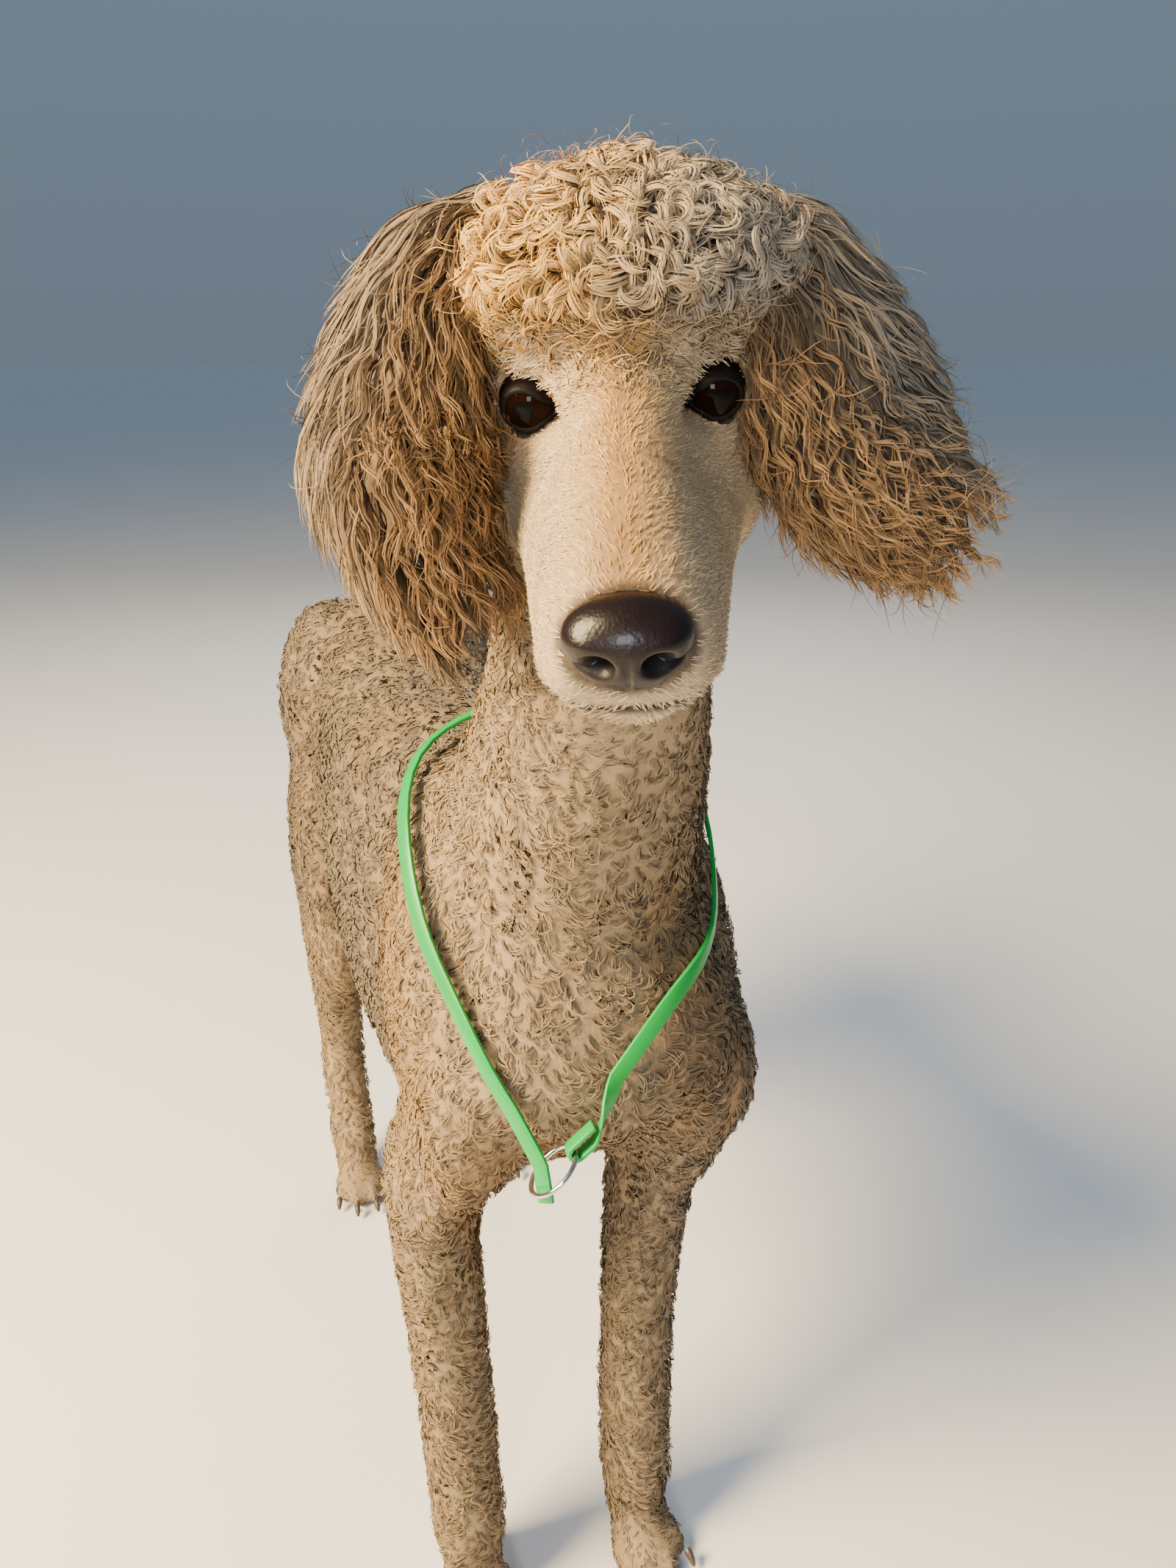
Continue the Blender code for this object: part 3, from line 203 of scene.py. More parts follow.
def triangles_of(thing):
    thing.data.calc_loop_triangles()
    found = np.empty(len(thing.data.loop_triangles) * 3, int)
    thing.data.loop_triangles.foreach_get("vertices", found)
    return found.reshape(-1, 3)


def smooth_shaded(thing):
    thing.data.polygons.foreach_set("use_smooth", [True] * len(thing.data.polygons))
    return thing


def reworked(mesh, change, sources=()):
    """Changes a mesh in bmesh form, from the meshes of its sources or else from what it holds."""
    bm = bmesh.new()
    for source in sources or (mesh,):
        bm.from_mesh(source)
    change(bm)
    bm.to_mesh(mesh)
    bm.free()
    return mesh


def weld(bm):
    bmesh.ops.remove_doubles(bm, verts=bm.verts, dist=1e-6)


def joined(name, things):
    """One object that holds the welded meshes of several, overlaps and all."""
    return linked(name, reworked(bpy.data.meshes.new(name), weld, [thing.data for thing in things]))


def outward_faces(thing):
    def change(bm):
        weld(bm)
        bmesh.ops.recalc_face_normals(bm, faces=bm.faces)

    reworked(thing.data, change)


def tube_faces(rings, around, first=False, last=False, closed=False):
    """Quads between rings of points, back to the first ring if closed, and faces over the ends that are asked for."""
    faces = []
    for i in range(rings if closed else rings - 1):
        for j in range(around):
            k, n = (j + 1) % around, (i + 1) % rings
            faces.append((i * around + j, i * around + k, n * around + k, n * around + j))
    if first:
        faces.append(tuple(range(around))[::-1])
    if last:
        faces.append(tuple((rings - 1) * around + j for j in range(around)))
    return faces


def applied(thing):
    bpy.context.view_layer.update()
    mesh = bpy.data.meshes.new_from_object(thing.evaluated_get(bpy.context.evaluated_depsgraph_get()))
    thing.modifiers.clear()
    thing.data = mesh
    return thing


def remeshed(thing, voxel, rounds):
    remesh = thing.modifiers.new("remesh", "REMESH")
    remesh.mode = "VOXEL"
    remesh.voxel_size = voxel
    smooth = thing.modifiers.new("smooth", "SMOOTH")
    smooth.iterations = rounds
    return applied(thing)


def search_tree(thing):
    return BVHTree.FromPolygons([tuple(p) for p in points_of(thing)], triangles_of(thing).tolist())


def ellipsoid_mesh(name, place, radii, turn=0.0, segments=32, rings=20):
    """An ellipsoid in the head's frame, turned about the head's X by degrees."""

    def ball(bm):
        bmesh.ops.create_uvsphere(bm, u_segments=segments, v_segments=rings, radius=1.0)

    thing = linked(name, reworked(bpy.data.meshes.new(name), ball))
    set_points(thing, from_head(points_of(thing) * radii @ about_x(turn).T + place))
    return thing


# Topknot's outline: place, radii and turn about X of the ellipsoids that make it, in the head's frame.

DOME = (
    ((0.001, 0.048, 0.028), (0.0680, 0.0620, 0.0410), -14),
    ((0, 0.014, 0.038), (0.0500, 0.0290, 0.0220), -6),
    ((0, 0.084, 0.004), (0.0560, 0.0420, 0.0560), -10),
    ((0, 0.004, 0.029), (0.0250, 0.0170, 0.0160), -20),
)
DOME_MIDDLE = from_head((0, 0.05, 0.0))
HEAD_BACK = TURN @ np.array((0.0, 1.0, 0.0))
# How far the mound that the ringlets grow from rises towards that outline.
CORE_SHARE = 0.42


def dome_share(points):
    """How far out points lie in the topknot's outline: under 1 inside it."""
    h = to_head(points)
    shares = [np.linalg.norm((h - place) @ about_x(turn) / radii, axis=1) for place, radii, turn in DOME]
    return np.min(shares, axis=0)


def dome_object():
    lumps = [ellipsoid_mesh(f"lump_{i}", np.array(p), np.array(r), t) for i, (p, r, t) in enumerate(DOME)]
    dome = remeshed(joined("dome", lumps), 0.003, 6)
    for lump in lumps:
        bpy.data.objects.remove(lump)
    return dome


def topknot_core(skull):
    """A low mound over the skull that the ringlets grow from."""
    core = dome_object()
    tree = search_tree(skull)
    points = points_of(core)
    for i, point in enumerate(points):
        base, normal, _, _ = tree.find_nearest(point)
        if (Vector(point) - base).dot(normal) > 0:
            points[i] = base + (Vector(point) - base) * CORE_SHARE
    set_points(core, points)
    return core


# The depth of the coat over the skin.

BODY_DEPTH = 0.0068
FACE_DEPTH = 0.0022
THROAT_DEPTH = 0.0035
PAW_DEPTH = 0.0040
SCALP_DEPTH = 0.0005


def above_neck(points):
    """Tells the head from the rest: 1 at points that are high enough."""
    return ramp(points[:, 2], 0.70, 0.72)


def face_share(points):
    h = to_head(points)
    front = 1 - ramp(h[:, 1] + 0.25 * np.maximum(0, -h[:, 2] - 0.045), 0.036, 0.066)
    return front * ramp(points[:, 2], 0.70, 0.73)


def throat_share(points):
    h = to_head(points)
    middle = 1 - ramp(np.abs(h[:, 0]), 0.024, 0.046)
    return middle * ramp(points[:, 2], 0.640, 0.700) * (1 - ramp(h[:, 1], 0.10, 0.13))


def paw_share(points):
    return 1 - ramp(points[:, 2], 0.018, 0.050)


def coat_depth(points):
    depth = np.full(len(points), BODY_DEPTH)
    for share, value in (
        (throat_share(points), THROAT_DEPTH),
        (face_share(points), FACE_DEPTH),
        (paw_share(points), PAW_DEPTH),
    ):
        depth = depth * (1 - share) + value * share
    scalp = 1 - ramp(dome_share(points), 0.92, 1.05)
    return depth * (1 - scalp) + SCALP_DEPTH * scalp


EYES = {1: box_middle("eye_left"), -1: box_middle("eye_right")}
LID_TURN = math.radians(13)
LID_HALF = (0.0071, 0.0064)
INNER_CORNER = 0.0030
# Past this distance from the gaze the rims no longer follow the ball.
BALL_EDGE = 0.0104


def lid_axes(side):
    """Directions of the gaze, across it and up."""
    look = unit(TURN @ np.array((math.sin(LID_TURN) * side, -math.cos(LID_TURN), 0.02)))
    across = unit(np.cross(look, TURN @ np.array((0, 0, 1))))
    return look, across, np.cross(across, look)


def lid_edge(across, up, side):
    """Half width of the opening of the lids in a direction round the gaze, longer at the inner corner."""
    size = np.maximum(np.hypot(across, up), 1e-9)
    c, s = across / size, up / size
    return 1 / np.hypot(c / LID_HALF[0], s / LID_HALF[1]) + INNER_CORNER * np.clip(c * side, 0, 1) ** 14


def past_lids(points, side):
    """How far points lie ahead of the eye's middle, out from its gaze, and that in half widths of the opening."""
    look, across, up = lid_axes(side)
    out = points - EYES[side]
    a, b = out @ across, out @ up
    wide = np.hypot(a, b)
    return out @ look, wide, wide / lid_edge(a, b, side)


def ball_front(wide):
    """How far ahead the ball's surface is at a distance from the gaze."""
    return np.sqrt(np.maximum(EYE_RADIUS**2 - np.minimum(wide, BALL_EDGE) ** 2, 0.0))


def around_eyes(points):
    """Moves the skin along each gaze: under the ball inside the opening, a rim round it and a soft rise beyond."""
    for side in (1, -1):
        ahead, wide, share = past_lids(points, side)
        rim = ball_front(wide) + np.interp(share, (0.90, 1.0, 1.10, 1.25), (-0.0022, -0.0004, 0.0007, 0.0004))
        blend = (1 - ramp(share, 1.15, 1.75)) * ramp(ahead, -0.016, -0.010) * (1 - ramp(ahead, 0.030, 0.040))
        points += lid_axes(side)[0] * ((rim - ahead) * blend)[:, None]
    return points


NOSE_PLACE = np.array((0.0, -0.1085, -0.0225))
NOSE_HALF = np.array((0.0183, 0.0130, 0.0140))


def nose_share(points):
    return np.linalg.norm((to_head(points) - NOSE_PLACE) / NOSE_HALF, axis=1)


def around_nose(points):
    """Draws the skin next to the nose in under its edge."""
    share = nose_share(points)
    rise = ramp(share, 0.95, 1.35)
    wanted = 0.88 * (1 - rise) + share * rise
    centre = from_head(NOSE_PLACE)
    near = share < 1.35
    points[near] = centre + (points[near] - centre) * (wanted / np.maximum(share, 0.2))[near, None]
    return points


# The lips' line as y and z of the head's frame, and the depth of its crease.
MOUTH_LINE = ((-0.112, -0.0450), (-0.095, -0.0455), (-0.060, -0.0480), (-0.030, -0.0500))
MOUTH_CREASE = 0.0022


def mouth_distance(h):
    """Distance from points of the head's frame to the line of the lips, seen from the side."""
    flat = h[:, 1:]
    best = np.full(len(h), 1.0)
    for one, two in zip(MOUTH_LINE, MOUTH_LINE[1:]):
        one, two = np.array(one), np.array(two)
        share = np.clip((flat - one) @ (two - one) / ((two - one) @ (two - one)), 0, 1)
        best = np.minimum(best, np.linalg.norm(flat - one - share[:, None] * (two - one), axis=1))
    return best


def keep_side(thing, point, normal):
    """Cuts an object by a plane and keeps the side behind the plane's normal, open at the cut."""

    def cut(bm):
        everything = bm.verts[:] + bm.edges[:] + bm.faces[:]
        bmesh.ops.bisect_plane(bm, geom=everything, plane_co=point, plane_no=normal, clear_outer=True)

    reworked(thing.data, cut)


# How far the skin stands out at places along the muzzle (head's y), so that the lip runs on into the cheek.
CHEEK_FILL = (
    (-0.105, 0.0),
    (-0.080, 0.0015),
    (-0.060, 0.0030),
    (-0.045, 0.0038),
    (-0.022, 0.0062),
    (0.0, 0.0050),
    (0.030, 0.0030),
    (0.050, 0.0),
)


def cheek_fill(h):
    """Offset in the head's frame that widens the root of the muzzle towards the cheek."""
    along = np.interp(h[:, 1], *zip(*CHEEK_FILL))
    amount = along * bell(h[:, 2], -0.043, 0.020) * ramp(np.abs(h[:, 0]), 0.010, 0.026)
    return np.stack([np.sign(h[:, 0]) * amount, 0 * amount, 0 * amount], 1)


def inset(thing):
    """Draws a fused surface in by the depth of the coat, with the crease of the mouth."""
    points = points_of(thing)
    h = to_head(points)
    crease = bell(mouth_distance(h), 0, 0.0016) * above_neck(points) * MOUTH_CREASE
    points -= normals_of(thing) * (coat_depth(points) + crease)[:, None]
    points += cheek_fill(h) @ TURN.T * above_neck(points)[:, None]
    set_points(thing, around_nose(around_eyes(points)))
    return thing


# The head's fine skin and the body's coarse one overlap by NECK_OVERLAP on each side of a plane through the neck.
NECK_POINT = np.array((0.0, -0.300, 0.770)) + SHIFT
NECK_UP = np.array((0.0, -0.42, 0.9))
NECK_OVERLAP = 0.004
HEAD_VOXEL = 0.0018
BODY_VOXEL = 0.0056


def build_skin():
    """One skin for all the flesh: fine on the head and coarser on the body."""
    head = joined("head_flesh", [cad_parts[n] for n in HEAD_FLESH])
    core = topknot_core(head)
    both = remeshed(joined("head_skin", [head, core]), HEAD_VOXEL, 10)
    flesh = remeshed(joined("body_skin", [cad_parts[n] for n in FLESH]), BODY_VOXEL, 5)
    keep_side(both, NECK_POINT - NECK_UP * NECK_OVERLAP, -NECK_UP)
    keep_side(flesh, NECK_POINT + NECK_UP * NECK_OVERLAP, NECK_UP)
    for part in (both, flesh):
        inset(part)
    skin = joined("skin", [both, flesh])
    for part in (head, core, both, flesh):
        bpy.data.objects.remove(part)
    return smooth_shaded(skin)


# Roots of the coat.


class Surface:
    """A triangle mesh to grow hair from."""

    def __init__(self, thing):
        self.points = points_of(thing)
        self.normals = normals_of(thing)
        self.triangles = triangles_of(thing)
        a, b, c = (self.points[self.triangles[:, i]] for i in range(3))
        self.areas = np.linalg.norm(np.cross(b - a, c - a), axis=1) / 2
        self.middles = (a + b + c) / 3

    def scatter(self, inside, spacing, even=True):
        """Roots about that far apart over the triangles whose middles are inside. Returns places and normals."""
        picked = np.flatnonzero(inside(self.middles))
        areas = self.areas[picked]
        count = int(areas.sum() / spacing**2 * (3.0 if even else 1.0))
        chosen = picked[RANDOM.choice(len(picked), count, p=areas / areas.sum())]
        weights = RANDOM.dirichlet((1, 1, 1), count)
        corners = self.triangles[chosen]
        places = (self.points[corners] * weights[:, :, None]).sum(1)
        normals = unit((self.normals[corners] * weights[:, :, None]).sum(1))
        kept = thinned(places, spacing * 0.86) if even else np.arange(count)
        return places[kept], normals[kept]


def thinned(places, apart):
    """Indices of places of which no two are nearer than that."""
    tree = KDTree(len(places))
    for i, place in enumerate(places):
        tree.insert(place, i)
    tree.balance()
    open_ones = np.ones(len(places), bool)
    kept = []
    for i, place in enumerate(places):
        if open_ones[i]:
            kept.append(i)
            for _, other, _ in tree.find_range(place, apart):
                open_ones[other] = False
    return np.array(kept)


def unwrapped(places, axis_point, axis):
    """Places round an axis as u and along it as v, both inside the unit square."""
    axis = unit(np.array(axis, float))
    one = unit(np.cross(axis, (0.31, 0.52, 0.79)))
    two = np.cross(axis, one)
    out = places - axis_point
    along = out @ axis
    u = np.arctan2(out @ one, out @ two) / (2 * math.pi) + 0.5
    v = (along - along.min()) / max(np.ptp(along), 1e-6)
    return np.stack([u, v], 1) * 0.97 + 0.015


# Ribbons.

# Side of the patch that each ribbon has on the bake map.
PATCH = 0.003
# The lowest that a ribbon may hang over the floor.
FLOOR_GAP = 0.0003


def ribbons(name, paths, sides, normals, widths, marks, roots_uv):
    """One mesh of tapered ribbons: paths (n, k, 3), the unit direction of each width, normals and widths (n, k).

    marks (n, k, 4) is what the material reads, and roots_uv the place of each ribbon's patch on the bake map.
    The normals are those of the lock and the body, so that a coat is shaded as one soft form.
    """
    count, steps = widths.shape
    block = 2 * (steps - 1) + 1
    half = sides * widths[:, :, None] / 2

    def doubled(values, offset=0.0):
        made = np.empty((count, block, values.shape[2]))
        made[:, 0:-1:2] = (values - offset)[:, :-1]
        made[:, 1:-1:2] = (values + offset)[:, :-1]
        made[:, -1] = values[:, -1]
        return made

    share = np.linspace(0, 1, steps)[:-1]
    along = np.append(np.repeat(share, 2), 1.0)
    across = np.append(np.tile((0.0, 1.0), steps - 1), 0.5)
    quads = np.concatenate([[2 * k, 2 * k + 1, 2 * k + 3, 2 * k + 2] for k in range(steps - 2)])
    corners = np.concatenate([quads, (block - 3, block - 2, block - 1)])
    loops = ((np.arange(count) * block)[:, None] + corners).ravel()
    starts = np.arange(steps - 1) * 4
    loop_starts = (np.arange(count)[:, None] * len(corners) + starts).ravel()
    mesh = bpy.data.meshes.new(name)
    mesh.vertices.add(count * block)
    corners_at = doubled(paths, half)
    corners_at[:, :, 2] = np.maximum(corners_at[:, :, 2], FLOOR_GAP)
    mesh.vertices.foreach_set("co", corners_at.ravel())
    mesh.loops.add(len(loops))
    mesh.loops.foreach_set("vertex_index", loops)
    mesh.polygons.add(len(loop_starts))
    mesh.polygons.foreach_set("loop_start", loop_starts)
    mesh.polygons.foreach_set("use_smooth", np.ones(len(loop_starts), bool))
    uv = np.empty((count, block, 2))
    uv[:, :, 0] = roots_uv[:, None, 0] + (along[None, :] - 0.5) * PATCH
    uv[:, :, 1] = roots_uv[:, None, 1] + (across[None, :] - 0.5) * PATCH
    mesh.uv_layers.new(name="OFBake").data.foreach_set("uv", uv.reshape(-1, 2)[loops].ravel())
    set_marks(mesh, doubled(marks))
    strand = np.empty((count, block, 3))
    strand[:, :, 0] = across
    strand[:, :, 1] = along
    strand[:, :, 2] = RANDOM.uniform(0, 1, count)[:, None]
    set_attribute(mesh, "strand", strand)
    set_attribute(mesh, "custom_normal", unit(doubled(normals)))
    mesh.update(calc_edges=True)
    return linked(name, mesh)


def grown(roots, normals, flow, lengths, climb, heading):
    """Paths from roots. Each step has a climb off the skin and a heading on it. Lengths are for each step or in all."""
    if lengths.ndim == 1:
        lengths = lengths[:, None] / climb.shape[1]
    side = np.cross(normals, flow)[:, None]
    flat = np.cos(heading)[..., None] * flow[:, None] + np.sin(heading)[..., None] * side
    ahead = np.cos(climb)[..., None] * flat + np.sin(climb)[..., None] * normals[:, None]
    return np.concatenate([roots[:, None], roots[:, None] + np.cumsum(ahead * lengths[..., None], axis=1)], axis=1)


def framed(paths, side):
    """Directions along, across and over each path, carried from step to step without twist."""
    ahead = unit(np.gradient(paths, axis=1))
    across = np.empty_like(ahead)
    last = side
    for k in range(paths.shape[1]):
        last = tangent(last, ahead[:, k])
        across[:, k] = last
    return ahead, across, np.cross(ahead, across)


def locks(
    paths, side, normals, radius, each, width,
    flat=0.75, swell=(0.8, 1.0, 0.9, 0.2), stray=0.0003, lift=0.8, arc=(0, 2),
):
    """Ribbons set round each path like the hair of one lock, over an arc in half turns from its side.

    The lock is as thick as radius, less so over its flat side, and swells along its length. Its ribbons stray
    from it, and lift is how much they are shaded like the skin below. Returns paths, sides, normals, widths
    and owners.
    """
    count, steps, _ = paths.shape
    _, across, over = framed(paths, side)
    t = np.linspace(0, 1, steps)
    size = np.interp(t, (0, 0.35, 0.7, 1), swell)
    owner = np.repeat(np.arange(count), each)
    total = len(owner)
    share = (np.tile(np.arange(each), count) + RANDOM.uniform(0.2, 0.8, total)) / each
    angle = math.pi * (arc[0] + (arc[1] - arc[0]) * share)
    reach = np.asarray(radius)[owner] * RANDOM.uniform(0.55, 1.1, total)
    c, s = np.cos(angle)[:, None, None], np.sin(angle)[:, None, None]
    spread = reach[:, None, None] * size[None, :, None]
    where = paths[owner] + spread * (c * across[owner] + s * flat * over[owner])
    wander = RANDOM.normal(size=(total, 2, 3)) * stray
    where = where + wander[:, :1] * t[None, :, None] ** 2 + wander[:, 1:] * np.sin(t * 5.0)[None, :, None]
    wide = -s * across[owner] + c * over[owner]
    shaded = unit(c * across[owner] + s * over[owner] + lift * normals[owner][:, None])
    taper = np.interp(t, (0, 0.2, 0.75, 1), (0.75, 1.0, 0.8, 0.0))
    return where, wide, shaded, width * RANDOM.uniform(0.7, 1.25, (total, 1)) * taper, owner


def marks_for(owner, steps, roots, extra_warm=0.0, extra_pale=0.0, marked=True):
    """What the material reads, for ribbons whose lock grows at roots."""
    warm, pale = tones_and_painted_shade(roots) if marked else np.zeros((2, len(roots)))
    vary = 0.5 + 0.16 * soft_noise(roots, 0.010, 3) + RANDOM.normal(0, 0.16, len(roots))
    # painted shade: under the chin and along the back the root's dark runs further up each ribbon and the ribbons are
    # darker
    painted_shade = painted_shade_share(roots) if marked else np.zeros(len(roots))
    marks = np.empty((len(owner), steps, 4))
    marks[:, :, 0] = np.linspace(0, 1, steps) * (1 - 0.8 * painted_shade[owner][:, None])
    marks[:, :, 1] = np.clip((vary - painted_shade)[owner] + RANDOM.normal(0, 0.05, len(owner)), 0, 1)[:, None]
    marks[:, :, 2] = np.clip(warm + extra_warm, 0, 1)[owner][:, None]
    marks[:, :, 3] = np.clip(pale + extra_pale, 0, 1)[owner][:, None]
    return marks


def coat_piece(name, paths, side, normals, radius, each, width, material, slot, uv, warm=0.0, pale=0.0, **shape):
    """One piece of coat: locks of ribbons along the paths, dressed and with the bake map at the roots."""
    where, wide, shaded, widths, owner = locks(paths, side, normals, radius, each, width, **shape)
    marks = marks_for(owner, paths.shape[1], paths[:, 0], warm, pale, material in (BODY_COAT, FACE_COAT))
    return dress(ribbons(name, where, wide, shaded, widths, marks, uv[owner]), material)


def grown_piece(name, roots, normals, flow, lengths, climb, heading, radius, sink=0.0, **shape):
    """One piece of coat that grows along the flow from roots that are sunk into the skin."""
    paths = grown(roots - normals * sink, normals, flow, lengths, climb, heading)
    coat_piece(name, paths, np.cross(normals, flow), normals, radius, **shape)


def middles(steps):
    """Shares of a path's length at the middles of its steps."""
    return (np.arange(steps - 1) + 0.5) / (steps - 1)


def shorter_at_eyes(length, points, least, near, far):
    """Lengths cut to their least share near the opening of the lids, between two distances in its half widths."""
    for side in (1, -1):
        length = length * (least + (1 - least) * ramp(past_lids(points, side)[2], near, far))
    return length


# Warm and pale shares over the body, for skin and coat alike: partly the coat's own tones, partly painted shade.


def tones_and_painted_shade(points):
    """Shares of the warm and of the pale colour at points on the body."""
    h = to_head(points)
    face = face_share(points)
    bridge = bell(h[:, 0], 0, 0.0135) * ramp(h[:, 2], -0.035, -0.005) * (1 - ramp(h[:, 1], -0.005, 0.03))
    warm = face * (0.95 * bridge + 0.25 * ramp(soft_noise(points, 0.03), 0.0, 1.0))
    # painted shade: the face is warmer and darker round the eyes
    for side in (1, -1):
        near = np.linalg.norm(points - from_head(EYE_PLACE * (side, 1, 1)), axis=1)
        warm = np.maximum(warm, 0.55 * face * (1 - ramp(near, 0.014, 0.026)))
    pale = face * (1 - bridge) * (0.65 + 0.35 * ramp(soft_noise(points, 0.012, 5), -1.0, 1.0))
    body = 1 - face
    warm = warm + body * ramp(soft_noise(points, 0.09, 1), 0.1, 1.1) * 0.55
    # painted shade: the body's pale share, darker and greyer, on the dog's left side away from the key light and along
    # the back
    away = ramp(local(points)[:, 0] + 0.04 * soft_noise(points, 0.07, 4), -0.02, 0.10)
    pale = pale + body * np.maximum(0.75 * away, 0.9 * rear_share(points))
    return np.clip(warm, 0, 1), np.clip(pale, 0, 1)


def rear_share(points):
    """The back and the rear, from behind the withers."""
    return ramp(local(points)[:, 1], -0.22, -0.06) * ramp(points[:, 2], 0.30, 0.42)


def painted_shade_share(points):
    """Share of painted shade by which the coat is darker: under the chin and along the back."""
    h = to_head(points)
    chin = ramp(-h[:, 2], 0.046, 0.062) * (1 - ramp(h[:, 1], 0.03, 0.08)) * (points[:, 2] > 0.70)
    return np.maximum(chin, rear_share(points))


# Materials.


class Look:
    """A node tree in the making. Inputs take a socket, a number or a colour or vector."""

    def __init__(self, owner, shader="Principled BSDF"):
        owner.use_nodes = True
        self.owner = owner
        self.tree = owner.node_tree
        self.shader = self.tree.nodes[shader]

    def put(self, target, inputs):
        for name, value in inputs.items():
            socket = target.inputs[name]
            if isinstance(value, bpy.types.NodeSocket):
                self.tree.links.new(value, socket)
            elif isinstance(value, (int, float)):
                socket.default_value = value
            else:
                socket.default_value = (*value, 1.0)[: len(socket.default_value)]

    def node(self, kind, inputs=None, **settings):
        made = self.tree.nodes.new(kind)
        for name, value in settings.items():
            setattr(made, name, value)
        self.put(made, inputs or {})
        return made

    def mixed(self, factor, one, two, blend="MIX"):
        inputs = {0: factor, 6: one, 7: two}
        return self.node("ShaderNodeMix", inputs, data_type="RGBA", blend_type=blend).outputs[2]

    def noise(self, scale, detail, vector, roughness=0.5):
        inputs = {"Scale": scale, "Detail": detail, "Vector": vector, "Roughness": roughness}
        return self.node("ShaderNodeTexNoise", inputs).outputs[0]

    def mapped(self, socket, low=0.0, high=1.0, to_low=0.0, to_high=1.0):
        inputs = {0: socket, 1: low, 2: high, 3: to_low, 4: to_high}
        return self.node("ShaderNodeMapRange", inputs).outputs[0]

    def place(self, kind="Object"):
        return self.node("ShaderNodeTexCoord").outputs[kind]

    def attribute(self, name, output):
        return self.node("ShaderNodeAttribute", attribute_name=name).outputs[output]

    def marks(self):
        """The four marks that set_marks() gives the coat."""
        tone = self.node("ShaderNodeAttribute", attribute_name="coat")
        parts = self.node("ShaderNodeSeparateColor", {0: tone.outputs["Color"]})
        return *parts.outputs, tone.outputs["Alpha"]

    def bump(self, height, strength, distance, invert=False):
        inputs = {"Height": height, "Strength": strength, "Distance": distance}
        self.put(self.shader, {"Normal": self.node("ShaderNodeBump", inputs, invert=invert).outputs[0]})

    def finished(self, colour, roughness, specular=0.5, **others):
        """Sets the shader, for the others with underscores for spaces, and returns the material."""
        self.put(self.shader, {"Base Color": colour, "Roughness": roughness, "Specular IOR Level": specular})
        self.put(self.shader, {name.replace("_", " "): value for name, value in others.items()})
        return self.owner


def new_look(name):
    return Look(bpy.data.materials.new(name))


def coat_material(
    name, painted_root_shade, middle, tip, warm, pale, roughness=0.6, lines=4.0, bump=0.35, streak=0.75, spread=0.30
):
    """Hair: painted shade darkens the root, lighter at the tip; warm and pale marks and fine lines along each ribbon.
    """
    look = new_look(name)
    along, vary, warm_mark, pale_mark = look.marks()
    colour = look.mixed(look.mapped(along, 0.0, 0.5), painted_root_shade, middle)
    colour = look.mixed(look.mapped(along, 0.45, 1.0), colour, tip)
    colour = look.mixed(look.mapped(warm_mark, to_high=0.75), colour, warm, "MULTIPLY")
    colour = look.mixed(look.mapped(pale_mark, to_high=0.85), colour, pale)
    patches = look.mapped(look.noise(45.0, 2.0, look.place()), 0.3, 0.7, 0.92, 1.10)
    lift = look.node("ShaderNodeMath", {0: look.mapped(vary, 0.0, 1.0, -spread, spread), 1: patches}, operation="ADD")
    value = look.node("ShaderNodeHueSaturation", {"Color": colour, "Value": lift.outputs[0]})
    strand = {0: look.attribute("strand", "Vector"), 1: (lines, 1.2, 37.0)}
    fine = look.noise(1.0, 2.0, look.node("ShaderNodeVectorMath", strand, operation="MULTIPLY").outputs[0], 0.6)
    darker = look.mapped(fine, 0.38, 0.62, 0.0, streak)
    look.bump(fine, bump, 0.0004)
    return look.finished(look.mixed(darker, value.outputs[0], (0.48, 0.42, 0.37), "MULTIPLY"), roughness, 0.16)


def skin_material():
    """The skin and the lowest fur on it: the coat's own colours, darker, with fine woolly bumps."""
    look = new_look("skin_and_underwool")
    dark, _, warm, pale = look.marks()
    place = look.place()
    wool = look.noise(420.0, 4.0, place, 0.65)
    patches = look.noise(55.0, 2.0, place)
    colour = look.mixed(look.mapped(patches, 0.35, 0.65), (0.28, 0.203, 0.122), (0.34, 0.249, 0.152))
    colour = look.mixed(look.mapped(pale, to_high=0.9), colour, (0.44, 0.335, 0.215))
    colour = look.mixed(look.mapped(warm, to_high=0.8), colour, (0.86, 0.62, 0.42), "MULTIPLY")
    colour = look.mixed(look.mapped(wool, 0.35, 0.65, 0.0, 0.5), colour, (0.60, 0.55, 0.50), "MULTIPLY")
    look.bump(wool, 0.6, 0.0008)
    # the dark mark is the skin's own dark at lips, lids and nose, and painted shade under the topknot and on the body
    return look.finished(look.mixed(dark, colour, (0.022, 0.016, 0.015)), 0.8, 0.2)


def mottled_material(name, scale, detail, one, two, roughness, specular=0.5, ridges=None):
    """Two colours mixed by fine noise, with bumps where their strength and height are given."""
    look = new_look(name)
    grain = look.noise(scale, detail, look.place())
    if ridges:
        look.bump(grain, *ridges)
    return look.finished(look.mixed(grain, one, two), roughness, specular)


def dress(thing, material):
    """Gives a piece its material and body."""
    thing.data.materials.clear()
    thing.data.materials.append(material)
    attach(thing, BODY)
    return thing


# Skin.

SKIN = build_skin()
SKIN_TREE = search_tree(SKIN)


